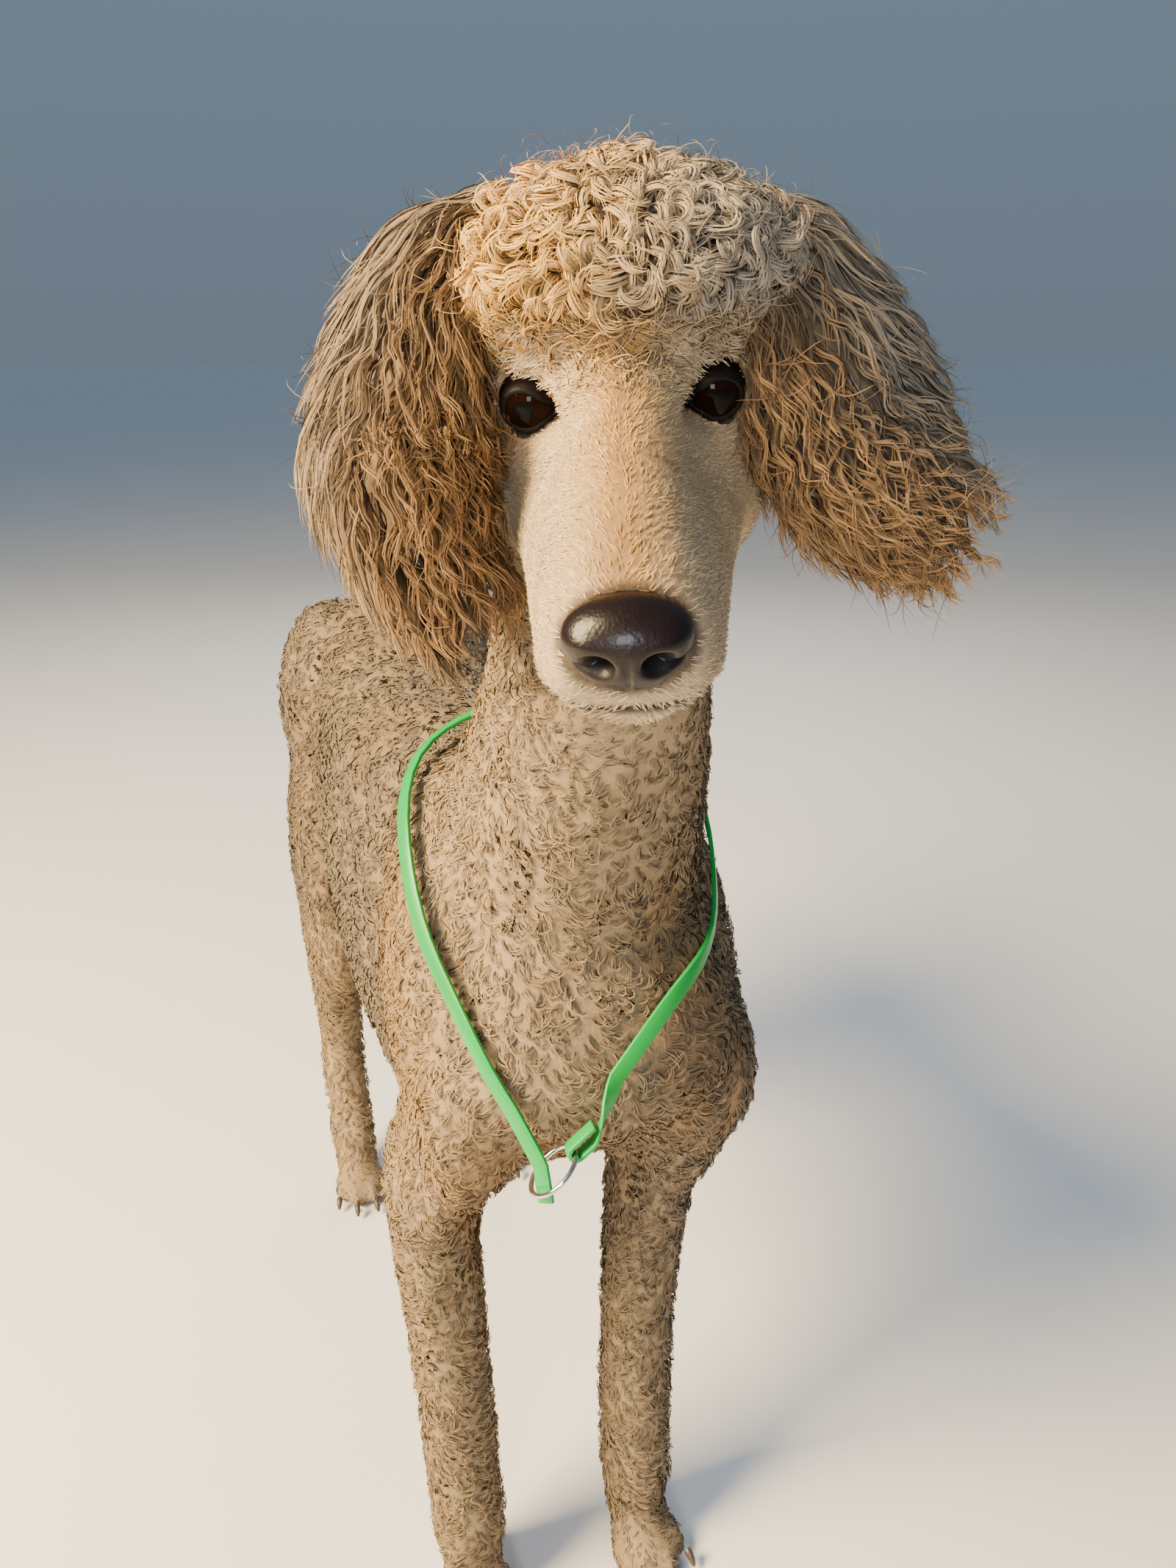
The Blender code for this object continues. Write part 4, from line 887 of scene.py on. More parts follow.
def paint_skin(skin):
    """The skin reads the same marks as the coat, and is dark at the lips and round the eyes and nose."""
    points = points_of(skin)
    h = to_head(points)
    warm, pale = tones_and_painted_shade(points)
    dark = 0.85 * (1 - ramp(nose_share(points), 1.08, 1.30))
    for side in (1, -1):
        ahead, _, share = past_lids(points, side)
        dark = np.maximum(dark, (1 - ramp(share, 1.24, 1.42)) * (ahead > -0.01) * (ahead < 0.02))
    # painted shade: the skin under the topknot's ringlets is darker
    dark = np.maximum(dark, 0.35 * (1 - ramp(dome_share(points), 0.75, 0.95)))
    face = face_share(points)
    # painted shade: the body's skin is darker on its shaded left side and along the back
    dark = np.maximum(dark, (1 - face) * (0.12 * pale + 0.25 * painted_shade_share(points)))
    pale = pale * face
    lips = bell(mouth_distance(h), 0, 0.0018) * above_neck(points)
    dark = np.maximum(dark, lips * (1 - ramp(h[:, 1], -0.045, -0.030)))
    set_marks(skin.data, np.stack([dark, np.full(len(points), 0.5), warm, pale], 1))


UNDERWOOL = skin_material()
paint_skin(SKIN)
dress(SKIN, UNDERWOOL)
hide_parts(*FLESH, "topknot")
SURFACE = Surface(SKIN)


# Coat materials: root colours, which are painted shade between the locks, middle and tip colours, then the warm and the
# pale one.

# BODY_COAT's pale colour is painted shade for the dog's left side and back.
BODY_COAT = coat_material(
    "body_coat",
    (0.20, 0.142, 0.083), (0.265, 0.192, 0.114), (0.34, 0.250, 0.150), (1.0, 0.76, 0.46), (0.17, 0.142, 0.107),
    roughness=0.62, streak=0.4, spread=0.26,
)
# TOP_COAT's warm colour is painted sunlight on the topknot and its pale grey one painted shade on topknot and brow.
TOP_COAT = coat_material(
    "topknot_coat",
    (0.26, 0.140, 0.040), (0.64, 0.390, 0.120), (0.95, 0.66, 0.225), (1.0, 0.72, 0.34), (0.31, 0.285, 0.255),
    lines=3.0, streak=0.65,
)
# EAR_COAT's pale grey colour is painted shade on the ears.
EAR_COAT = coat_material(
    "ear_coat",
    (0.032, 0.018, 0.009), (0.18, 0.118, 0.060), (0.46, 0.325, 0.175), (0.58, 0.42, 0.27), (0.30, 0.262, 0.215),
)
FACE_COAT = coat_material(
    "face_coat",
    (0.30, 0.195, 0.085), (0.52, 0.355, 0.140), (0.78, 0.55, 0.215), (1.0, 0.80, 0.44), (0.46, 0.395, 0.30),
    lines=2.0, bump=0.15, streak=0.7, spread=0.40,
)


# Body coat.


def body_flow(points, normals):
    """The lie of the coat: back and down on the trunk, down on neck and legs, back from the nose on the face."""
    h = to_head(points)
    face = face_share(points)[:, None]
    legs = (1 - ramp(points[:, 2], 0.36, 0.46))[:, None]
    front = (1 - ramp(local(points)[:, 1], -0.20, -0.08))[:, None]
    trunk = np.array((0.0, 1.0, -0.5))
    down = np.array((0.0, 0.25, -1.0))
    way = trunk * (1 - front) + down * front
    way = way * (1 - legs) + down * legs
    side = np.sign(h[:, :1])
    eye = np.exp(-(((np.abs(h[:, 0]) - 0.030) / 0.016) ** 2 + (h[:, 2] / 0.016) ** 2))[:, None]
    back = np.concatenate([0.35 * side, np.full_like(side, 1.0), -0.22 + 0 * side], 1)
    round_eye = np.concatenate([0.9 * side, np.full_like(side, 0.6), -0.9 + 0 * side], 1)
    on_face = (back * (1 - eye) + round_eye * eye) @ TURN.T
    return tangent(way * (1 - face) + on_face * face, normals)


def swirled(flow, normals, angles):
    side = np.cross(normals, flow)
    return flow * np.cos(angles)[:, None] + side * np.sin(angles)[:, None]


# Axes of the body's bake maps.
LENGTHWISE, UPRIGHT, TAILWISE = (0.0, 1.0, 0.02), (0.0, 0.0, 1.0), (0.0, 0.3, 1.0)


def body_tufts(name, inside, spacing, axis, each=5, steps=6, width=0.19):
    """Woolly tufts that leave the skin, lie down and curve to the side as their neighbours do.

    The spacing of their roots gives the radius of the tufts and, times width, the width of their ribbons.
    """

    def wanted(points):
        return inside(points) & (face_share(points) < 0.5) & (dome_share(points) > 1.0) & (nose_share(points) > 2)

    roots, normals = SURFACE.scatter(wanted, spacing)
    count = len(roots)
    flow = body_flow(roots, normals)
    swirl = 0.75 * soft_noise(roots, 0.060) + 0.55 * soft_noise(roots, 0.018, 1) + RANDOM.normal(0, 0.22, count)
    flow = swirled(flow, normals, swirl)
    depth = coat_depth(roots)
    short = ramp(depth, THROAT_DEPTH, BODY_DEPTH)
    t = middles(steps)
    rise = RANDOM.uniform(0.55, 0.85, count) * (0.6 + 0.4 * short)
    climb = rise[:, None] - (rise + RANDOM.uniform(0.15, 0.6, count))[:, None] * t
    bend = (1.4 * soft_noise(roots, 0.022, 2) + RANDOM.normal(0, 0.7, count)) * (0.25 + 0.75 * short)
    length = depth * RANDOM.uniform(1.5, 2.1, count)
    grown_piece(
        name, roots, normals, flow, length, climb, bend[:, None] * 2.2 * t,
        spacing * RANDOM.uniform(0.32, 0.46, count),
        sink=0.001, each=each, width=spacing * width, material=BODY_COAT, slot="coat",
        uv=unwrapped(roots, roots.mean(0), axis),
        flat=0.6, swell=(0.8, 1.0, 0.85, 0.2), lift=1.8, stray=0.0006, arc=(-0.1, 1.1),
    )


def is_tail(points):
    p = local(points)
    return (p[:, 1] > 0.345) & (p[:, 2] > 0.640)


def is_foreleg(points, side):
    p = local(points)
    return (p[:, 0] * side > 0) & (p[:, 2] < 0.335) & (p[:, 1] < -0.03)


def is_hindleg(points, side):
    p = local(points)
    return (p[:, 0] * side > 0) & (p[:, 2] < 0.385) & (p[:, 1] > 0.10)


def is_any_leg(points):
    return np.any([test(points, side) for test in (is_foreleg, is_hindleg) for side in (1, -1)], axis=0)


def is_neck(points):
    p = local(points)
    return (p[:, 2] + 0.45 * p[:, 1] > 0.535) & (p[:, 1] < -0.10)


def is_chest(points, left):
    p = local(points)
    return ~is_neck(points) & ~is_any_leg(points) & (p[:, 1] < -0.12) & ((p[:, 0] >= 0) == left)


def is_trunk(points, back):
    p = local(points)
    return ~is_any_leg(points) & ~is_tail(points) & (p[:, 1] >= -0.12) & ((p[:, 1] > 0.11) == back)


# Face coat.

# Half thickness of a lock that is a single hair, and spacings of the roots on the face.
HAIR_RADIUS = 0.00005
VELVET_SPACING = 0.00142
BROW_SPACING = 0.0026


def off_eyes(points):
    """True away from the eyes and their rims."""
    clear = np.ones(len(points), bool)
    for side in (1, -1):
        ahead, _, share = past_lids(points, side)
        clear &= (share > 1.31) | (ahead < -0.012) | (ahead > 0.03)
    return clear


def face_hair(steps=4):
    """Velvet that lies back from the nose, a little longer on the cheeks and over the brow."""

    def wanted(points):
        on_face = (face_share(points) >= 0.5) & (dome_share(points) > 0.78)
        return on_face & (nose_share(points) > 1.04) & off_eyes(points)

    roots, normals = SURFACE.scatter(wanted, VELVET_SPACING, False)
    count = len(roots)
    h = to_head(roots)
    flow = body_flow(roots, normals)
    flow = swirled(flow, normals, 0.35 * soft_noise(roots, 0.02, 2) + RANDOM.normal(0, 0.20, count))
    brow = ramp(h[:, 1], -0.035, 0.01) * ramp(h[:, 2], -0.01, 0.02)
    length = RANDOM.uniform(0.0030, 0.0044, count) * (1 + 0.9 * brow + 1.4 * ramp(h[:, 1], -0.01, 0.04))
    length = shorter_at_eyes(length, roots, 0.5, 1.3, 2.1)
    t = middles(steps)
    rise = RANDOM.uniform(0.38, 0.58, count)[:, None]
    heading = RANDOM.normal(0, 0.25, count)[:, None] * t
    grown_piece(
        "coat_face", roots, normals, flow, length, rise - rise * t, heading, np.full(count, HAIR_RADIUS),
        sink=0.0003, each=1, width=0.00042, material=FACE_COAT, slot="face",
        uv=unwrapped(roots, HEAD_ORIGIN + TURN @ np.array((0, 0, -0.03)), HEAD_BACK),
        arc=(0.35, 0.65), lift=3.0, stray=0.0001,
    )


def brow_hair(steps=7):
    """Soft locks between the velvet and the ringlets, swept up and out from the middle of the brow."""

    def wanted(points):
        h = to_head(points)
        share = dome_share(points)
        ahead = (h[:, 1] < 0.052) & (h[:, 2] > -0.020 + 0.2 * np.abs(h[:, 0]))
        return (share > 0.74) & (share < 1.34) & ahead & off_eyes(points)

    roots, normals = SURFACE.scatter(wanted, BROW_SPACING)
    count = len(roots)
    h = to_head(roots)
    near = 1 - ramp(dome_share(roots), 0.95, 1.34)
    sweep = np.stack([12.0 * h[:, 0], np.full(count, 0.3), np.full(count, 0.8)], 1) @ TURN.T
    flow = swirled(tangent(sweep, normals), normals, 0.9 * soft_noise(roots, 0.02) + RANDOM.normal(0, 0.5, count))
    length = (0.0055 + 0.0075 * near) * RANDOM.uniform(0.7, 1.2, count)
    length = shorter_at_eyes(length, roots, 0.35, 1.6, 3.0)
    t = middles(steps)
    climb = (RANDOM.uniform(0.5, 0.9, count) * (0.6 + 0.4 * near))[:, None] * (1 - 1.4 * t)
    heading = (RANDOM.normal(0, 1.3, count) * (0.3 + near))[:, None] * t
    grown_piece(
        "coat_brow", roots, normals, flow, length, climb, heading, RANDOM.uniform(0.0008, 0.0016, count),
        sink=0.0004, each=5, width=0.00036, material=TOP_COAT, slot="topknot",
        uv=unwrapped(roots, DOME_MIDDLE, HEAD_BACK),
        # painted shade: the brow's hair is paler grey towards the dog's left side
        warm=0.25 * near, pale=0.35 + 0.4 * ramp(h[:, 0], -0.02, 0.02),
        flat=0.6, swell=(0.9, 1.0, 0.7, 0.2), stray=0.0007, lift=1.2,
    )


# Topknot and pompon.

HOOKED_SHARE = 0.68
RISE_STEPS, LOOP_STEPS = 2, 9


def ringlets(name, tips, normals, flow, depths, loops, radius, **look):
    """Locks that rise from their depth under the tips and end in a loop, lying on the outline or hooked over it."""
    count = len(tips)
    hooked = RANDOM.uniform(0, 1, count) < HOOKED_SHARE
    turn = np.where(hooked, RANDOM.uniform(2.7, 4.0, count), RANDOM.uniform(2.6, 4.4, count))
    turn = turn * RANDOM.choice((-1, 1), count)
    t = (np.arange(LOOP_STEPS) + 1) / LOOP_STEPS
    lying = np.interp(t, (0, 0.15, 0.4, 1.0), (1.0, 0.55, 0.15, -0.30))
    over = 1.45 - np.abs(turn)[:, None] * t
    climb = np.where(hooked[:, None], over, lying + RANDOM.normal(0, 0.15, count)[:, None])
    heading = np.where(hooked[:, None], 0.30 * turn[:, None] * t, turn[:, None] * t)
    lean = RANDOM.uniform(1.0, 1.4, (count, 1))
    climb = np.concatenate([np.repeat(lean, RISE_STEPS, 1), climb], 1)
    heading = np.concatenate([np.zeros((count, RISE_STEPS)), heading], 1)
    rise = np.maximum(depths - np.where(hooked, loops * 0.9, loops * 0.35), 0.001)
    curl = (loops * np.abs(turn) / LOOP_STEPS)[:, None] * np.linspace(1.15, 0.80, LOOP_STEPS)
    lengths = np.concatenate([np.repeat(rise[:, None] / RISE_STEPS, RISE_STEPS, 1), curl], 1)
    grown_piece(
        name, tips, normals, flow, lengths, climb, heading, radius, sink=depths[:, None], material=TOP_COAT,
        flat=0.8, swell=(0.6, 1.0, 1.0, 0.35), stray=0.0004, lift=0.35, arc=(-0.2, 1.2), **look,
    )


def wisps(name, roots, normals, flow, lengths, steps=6, **look):
    """Single fine hairs that stand off the mass of hair and curl."""
    count = len(roots)
    t = middles(steps)
    climb = RANDOM.uniform(0.7, 1.3, count)[:, None] * (1 - RANDOM.uniform(0.6, 2.2, count)[:, None] * t)
    heading = RANDOM.normal(0, 1.3, count)[:, None] * t
    grown_piece(
        name, roots, normals, flow, lengths, climb, heading, np.full(count, HAIR_RADIUS),
        each=1, arc=(0.3, 0.7), stray=0.0005, lift=1.2, **look,
    )


TOP_SPACING = 0.0043
TOP_INSET = 0.0062
# Ringlets grow only where the outline is this far over the skin, and rise from no deeper than the second.
TOP_LEAST_DEPTH, TOP_MOST_DEPTH = 0.0028, 0.018
TOP_WISPS = 2600
# Where the front pieces end and the back one begins, as y of the head's frame.
TOP_FRONT = 0.052


def topknot():
    """Ringlets all over the outline of the topknot, in three pieces, and hairs that stand off them."""
    dome = dome_object()
    outline = Surface(dome)
    bpy.data.objects.remove(dome)

    def wanted(points):
        h = to_head(points)
        return (h[:, 2] > -0.030 + 0.35 * np.maximum(0, 0.05 - h[:, 1])) & (h[:, 2] - 0.35 * h[:, 1] > -0.045)

    tips, normals = outline.scatter(wanted, TOP_SPACING)
    depths = np.zeros(len(tips))
    for i, (tip, normal) in enumerate(zip(tips, normals)):
        hit, _, _, distance = SKIN_TREE.ray_cast(Vector(tip), Vector(-normal), 0.06)
        near, facing, _, _ = SKIN_TREE.find_nearest(Vector(tip))
        inside = (near - Vector(tip)).dot(facing) > 0
        depths[i] = 0 if inside or hit is None else distance + 0.001
    good = depths > TOP_LEAST_DEPTH
    tips, normals, depths = tips[good], normals[good], depths[good]
    up = (normals @ TURN)[:, 2]
    inset_by = np.minimum(TOP_INSET + 0.0034 * (ramp(up, 0.3, 0.95) * 2 - 1), 0.5 * depths)
    tips = tips - normals * inset_by[:, None]
    loops = np.clip(0.36 * depths, 0.0016, 0.0040) * RANDOM.uniform(0.75, 1.25, len(tips))
    depths = np.minimum(depths - inset_by, TOP_MOST_DEPTH)
    h = to_head(tips)
    falling = np.stack([7.0 * h[:, 0], np.full(len(tips), -0.5), np.full(len(tips), -0.7)], 1) @ TURN.T
    swirl = 1.3 * soft_noise(tips, 0.028) + RANDOM.normal(0, 0.8, len(tips))
    flow = swirled(tangent(falling, normals), normals, swirl)
    fringe = 1 - ramp(h[:, 1] + 1.2 * h[:, 2], 0.000, 0.055)
    uv = unwrapped(tips, DOME_MIDDLE, HEAD_BACK)
    # painted light: warm on the dog's right side, more on its fringe, is painted sunlight; pale grey on its left side
    # and over the top is painted shade
    right = ramp(-h[:, 0], -0.035, 0.03)
    warm = 0.20 * right + 0.40 * fringe * right
    pale = np.maximum((1 - right) * ramp(h[:, 2], -0.01, 0.03), 0.8 * ramp(h[:, 2], 0.045, 0.075))
    radius = RANDOM.uniform(0.50, 0.68, len(tips)) * loops
    front = h[:, 1] < TOP_FRONT
    for name, here, each, width in (
        ("coat_topknot_front_right", front & (h[:, 0] < 0), 14, 0.00068),
        ("coat_topknot_front_left", front & (h[:, 0] >= 0), 14, 0.00068),
        ("coat_topknot_back", ~front, 10, 0.00105),
    ):
        ringlets(
            name, tips[here], normals[here], flow[here], depths[here], loops[here], radius[here],
            each=each, width=width, slot="topknot", uv=uv[here], warm=warm[here], pale=pale[here],
        )
    picked = RANDOM.choice(len(tips), TOP_WISPS)
    roots = tips[picked] + RANDOM.normal(0, 0.003, (TOP_WISPS, 3)) - normals[picked] * 0.002
    way = tangent(RANDOM.normal(size=(TOP_WISPS, 3)), normals[picked])
    wisps(
        "coat_topknot_wisps", roots, normals[picked], way, RANDOM.uniform(0.007, 0.015, TOP_WISPS),
        width=0.00026, material=TOP_COAT, slot="topknot", uv=uv[picked], warm=warm[picked], pale=pale[picked],
    )


TAIL_TIP = np.array((0.004, 0.398, 0.780)) + SHIFT
POMPON_RADIUS = 0.050
POMPON_PALE = 0.55


def pompon(count=420):
    """A ball of ringlets round the end of the tail."""
    i = np.arange(count)
    z = 1 - 2 * (i + 0.5) / count
    turn = math.pi * (3 - math.sqrt(5)) * i
    flat = np.sqrt(1 - z * z)
    normals = np.stack([flat * np.cos(turn), flat * np.sin(turn), z], 1)
    tips = TAIL_TIP + normals * POMPON_RADIUS * 0.98
    uv = unwrapped(tips, TAIL_TIP, UPRIGHT)
    flow = tangent(RANDOM.normal(size=(count, 3)), normals)
    loops = RANDOM.uniform(0.0036, 0.0052, count)
    tips = tips - normals * RANDOM.uniform(0, 0.006, count)[:, None]
    ringlets(
        "coat_pompon", tips, normals, flow, np.full(count, 0.020), loops, loops * 0.62,
        each=8, width=0.0011, slot="coat", uv=uv, pale=POMPON_PALE,
    )
    way = tangent(RANDOM.normal(size=(count, 3)), normals)
    wisps(
        "coat_pompon_wisps", tips, normals, way, RANDOM.uniform(0.010, 0.018, count),
        sink=0.006, width=0.0003, material=TOP_COAT, slot="coat", uv=uv, pale=POMPON_PALE,
    )
    core = ellipsoid_mesh("pompon_core", np.zeros(3), np.ones(3))
    set_points(core, to_head(points_of(core)) * POMPON_RADIUS * 0.74 + TAIL_TIP)
    plain_marks(core)
    dress(smooth_shaded(core), UNDERWOOL)


# Ears, as in the part: rows of middle, half breadth and half thickness from root to tip, in a frame that tilts less
# than the head's.

EAR_ROWS = {
    "right": (
        (0.038, 0.052, 0.054, 0.026, 0.015),
        (0.066, 0.050, 0.038, 0.040, 0.023),
        (0.082, 0.048, 0.004, 0.054, 0.029),
        (0.087, 0.042, -0.028, 0.058, 0.033),
        (0.075, 0.028, -0.058, 0.050, 0.030),
        (0.057, 0.014, -0.085, 0.034, 0.022),
    ),
    "left": (
        (0.038, 0.052, 0.050, 0.026, 0.015),
        (0.058, 0.050, 0.038, 0.040, 0.024),
        (0.073, 0.046, 0.012, 0.052, 0.031),
        (0.088, 0.042, -0.014, 0.053, 0.032),
        (0.106, 0.034, -0.036, 0.044, 0.030),
        (0.130, 0.026, -0.050, 0.029, 0.021),
    ),
}
EAR_BREADTH_TURN = {"right": math.radians(28), "left": math.radians(38)}
EAR_LENGTH = 0.175
EAR_DROOP = 0.010
EAR_WISPS = 700


def ear_stations(name, side, shares):
    """Middle, breadth, outward, half breadth and half thickness of an ear at shares of its length, as arrays."""
    rows = spline([(r[0] * side, *r[1:]) for r in EAR_ROWS[name]], 81)
    at = np.clip(shares, 0, 1) * 80
    one = np.minimum(at.astype(int), 79)
    row = rows[one] + (rows[one + 1] - rows[one]) * (at - one)[:, None]
    ahead = unit(rows[one + 1, :3] - rows[one, :3])
    beyond = np.maximum(0, shares - 1)
    length = np.linalg.norm(np.diff(rows[:, :3], axis=0), axis=1).sum()
    middle = row[:, :3] + ahead * (beyond * length)[:, None]
    turn = EAR_BREADTH_TURN[name]
    breadth = tangent(np.broadcast_to((math.sin(turn) * side, math.cos(turn), 0.0), ahead.shape), ahead)
    outward = np.cross(ahead, breadth) * side
    taper = (1 - 2.2 * beyond)[:, None]
    return middle, breadth, outward, row[:, 3:4] * taper, row[:, 4:5] * taper


def ear_points(name, side, shares, angles, reach):
    """World places in an ear: shares of its length, angles round it and reach of its outline."""
    middle, breadth, outward, wide, thick = ear_stations(name, side, shares.ravel())
    c, s, r = np.cos(angles.ravel())[:, None], np.sin(angles.ravel())[:, None], reach.ravel()[:, None]
    place = middle + (breadth * wide * c + outward * thick * s) * r
    return (place @ EAR_TURN.T + HEAD_ORIGIN).reshape(*shares.shape, 3)


def ear_flap(name, side):
    """The leather of the ear with its cup, under the hair."""
    around, along = 32, 24
    shares = np.linspace(0.0, 0.80, along)[:, None] + np.zeros((1, around))
    angles = np.linspace(0, 2 * math.pi, around, endpoint=False)[None, :] + np.zeros((along, 1))
    cup = bell(shares, 0.36, 0.16) * np.clip(-np.sin(angles), 0, 1)
    reach = 0.60 * (1 - 0.35 * cup) * np.where(shares > 0.7, 1 - (shares - 0.7) * 5, 1.0)
    points = ear_points(name, side, shares, angles, reach).reshape(-1, 3)
    made = mesh_object("ear_flap_" + name, points, tube_faces(along, around, first=True, last=True))
    outward_faces(made)
    plain_marks(made)
    dress(smooth_shaded(made), UNDERWOOL)


def ear_hair(name, side, count=880, each=6, steps=15):
    """Pointed, waved locks that fall over one another down the ear, curled and darker along its front edge."""
    start = RANDOM.uniform(-0.05, 0.92, count)
    seen = RANDOM.uniform(0, 1, count) < 0.62
    angle = np.where(seen, RANDOM.uniform(-0.1, 1.30, count), RANDOM.uniform(0, 2, count)) * math.pi
    angle = np.where(RANDOM.uniform(0, 1, count) < 0.20, RANDOM.normal(1.03, 0.13, count) * math.pi, angle)
    front = ramp(-np.cos(angle), 0.30, 0.85)
    span = RANDOM.uniform(0.19, 0.31, count) * (1 - 0.30 * ramp(start, 0.6, 0.95))
    t = np.linspace(0, 1, steps)[None, :]
    shares = start[:, None] + span[:, None] * t
    drift = RANDOM.normal(0, 0.18, count) - 0.60 * np.clip(np.sin(angle), -0.3, 1) * (1 - front)
    angles = angle[:, None] + drift[:, None] * t
    outer = (RANDOM.uniform(0.95, 1.18, count) + (0.30 if side < 0 else 0.10) * front)[:, None]
    base = (0.66 + 0.24 * front)[:, None]
    reach = base + (outer - base) * t**1.3
    paths = ear_points(name, side, shares, angles, reach)
    out = unit(ear_points(name, side, shares, angles, reach + 0.1) - paths)
    ahead = unit(np.gradient(paths, axis=1))
    sides = unit(np.cross(out, ahead))
    droop = np.array((0.0, 0.0, -1.0)) - ahead
    paths = paths + droop * (EAR_DROOP * RANDOM.uniform(0.3, 1.2, count)[:, None] * t**2)[:, :, None]
    wave = RANDOM.uniform(0.0010, 0.0022, count) * (1 + 0.3 * front)
    pace = EAR_LENGTH / RANDOM.uniform(0.028, 0.036, count) * (1 + 0.35 * front)
    phase = 2 * math.pi * pace[:, None] * shares
    phase = phase + (1.2 * soft_noise(paths[:, 0], 0.022) + RANDOM.normal(0, 0.4, count))[:, None]
    grow = (wave[:, None] * np.minimum(1, 0.25 + 1.6 * t))[:, :, None]
    paths = paths + sides * grow * np.sin(phase)[:, :, None] + out * grow * 0.6 * (np.cos(phase)[:, :, None] - 0.6)
    facing = np.sin(angle)
    low = ramp(start, 0.35, 0.85)
    warm = np.clip(0.10 + 0.90 * front + 0.45 * low, 0, 1)
    # painted shade: pale grey on the outer face of the ear's upper part and over all of the left ear, less at the front
    # edge
    high = 0.45 * ramp(facing, -0.2, 0.9) * (1 - 0.9 * low)
    pale = (high + 0.55 * (side > 0)) * (1 - 0.8 * front)
    uv = np.stack([(angle / (2 * math.pi)) % 1.0 * 0.96 + 0.02, np.clip(start, 0, 1) * 0.96 + 0.02], 1)
    radius = RANDOM.uniform(0.0013, 0.0024, count) * (1 - 0.2 * front)
    made = coat_piece(
        "coat_ear_" + name, paths, sides[:, 0], out[:, steps // 2], radius,
        each=each, width=0.00085, material=EAR_COAT, slot="ear", uv=uv, warm=warm, pale=pale,
        flat=0.6, swell=(0.9, 1.0, 0.8, 0.10), stray=0.0006, lift=0.5, arc=(-0.10, 1.10),
    )
    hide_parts("ear_" + name)
    picked = RANDOM.choice(count, EAR_WISPS)
    step = steps * 2 // 3
    roots, normals = paths[picked, step], out[picked, step]
    wisps(
        f"coat_ear_{name}_wisps", roots, normals,
        tangent(ahead[picked, step] + RANDOM.normal(0, 0.8, (EAR_WISPS, 3)), normals),
        RANDOM.uniform(0.012, 0.022, EAR_WISPS),
        width=0.0003, material=EAR_COAT, slot="ear", uv=uv[picked], warm=warm[picked], pale=pale[picked],
    )


# Eyes.


def eye_material():
    """Wet dark brown eye: black pupil, brown iris with fine spokes, dark rim, under a clear coat."""
    look = new_look("wet_eye")
    around = look.attribute("eye", "Vector")
    lean = look.node("ShaderNodeSeparateXYZ", {0: around}).outputs[0]
    iris = look.mixed(look.noise(14.0, 3.0, around), (0.0035, 0.0014, 0.0007), (0.013, 0.0042, 0.0015))
    colour = look.mixed(look.mapped(lean, 0.26, 0.36), (0.003, 0.003, 0.003), iris)
    colour = look.mixed(look.mapped(lean, 0.56, 0.74), colour, (0.006, 0.004, 0.004))
    return look.finished(colour, 0.12, 0.0, Coat_Weight=0.14, Coat_Roughness=0.02)


def eyeball(name, side, material):
    """Eyeball with its cornea. The attribute holds the angle from the gaze and the direction round it."""
    around, rings = 48, 40
    look, across, up = lid_axes(side)
    centre = EYES[side]
    points, values = [], []
    for i in range(rings + 1):
        lean = math.pi * i / rings
        bulge = EYE_RADIUS * 0.02 * math.exp(-((lean / 0.55) ** 2))
        for j in range(around):
            turn = 2 * math.pi * j / around
            way = look * math.cos(lean) + (across * math.cos(turn) + up * math.sin(turn)) * math.sin(lean)
            points.append(centre + way * (EYE_RADIUS + bulge))
            values.append((lean / 1.1, math.cos(turn) * 3, math.sin(turn) * 3))
    made = mesh_object("eyeball_" + name, points, tube_faces(rings + 1, around))
    set_attribute(made.data, "eye", values)
    outward_faces(made)
    dress(smooth_shaded(made), material)
    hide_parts("eye_" + name)


# Lid rings from the ball outwards: how far past the opening, and height over the ball.
LID_RINGS = (
    (-0.0008, -0.0003),
    (-0.0003, 0.0005),
    (0.0004, 0.0011),
    (0.0013, 0.0012),
    (0.0021, 0.0008),
    (0.0028, -0.0008),
)


def lids(name, side, material):
    """The dark rims of both lids, drawn out at the inner corner."""
    around = 96
    look, across, up = lid_axes(side)
    turn = np.linspace(0, 2 * math.pi, around, endpoint=False)
    way = across * np.cos(turn)[:, None] + up * np.sin(turn)[:, None]
    edge = lid_edge(np.cos(turn), np.sin(turn), side)
    rings = []
    for past, height in LID_RINGS:
        wide = edge + past
        rings.append(EYES[side] + way * wide[:, None] + look * (ball_front(wide) + height)[:, None])
    made = mesh_object("lids_" + name, np.concatenate(rings), tube_faces(len(rings), around))
    thick = made.modifiers.new("thick", "SOLIDIFY")
    thick.thickness = 0.0005
    thick.offset = -1
    applied(made)
    dress(smooth_shaded(made), material)


# Nose.


def nose_material():
    """Dark pebbled leather, dull inside the nostrils, where painted shade makes it black."""
    look = new_look("nose_leather")
    place = look.place()
    pebbles = look.node("ShaderNodeTexVoronoi", {"Scale": 950.0, "Vector": place}, feature="SMOOTH_F1")
    colour = look.mixed(look.noise(90.0, 3.0, place), (0.004, 0.0022, 0.0023), (0.011, 0.0056, 0.0056))
    hole = look.attribute("hole", "Fac")
    look.bump(pebbles.outputs["Distance"], 0.35, 0.0003, True)
    return look.finished(
        look.mixed(hole, colour, (0.001, 0.001, 0.001)), look.mapped(hole, 0.0, 1.0, 0.34, 0.95), 0.25,
        Coat_Weight=0.10, Coat_Roughness=0.15,
    )


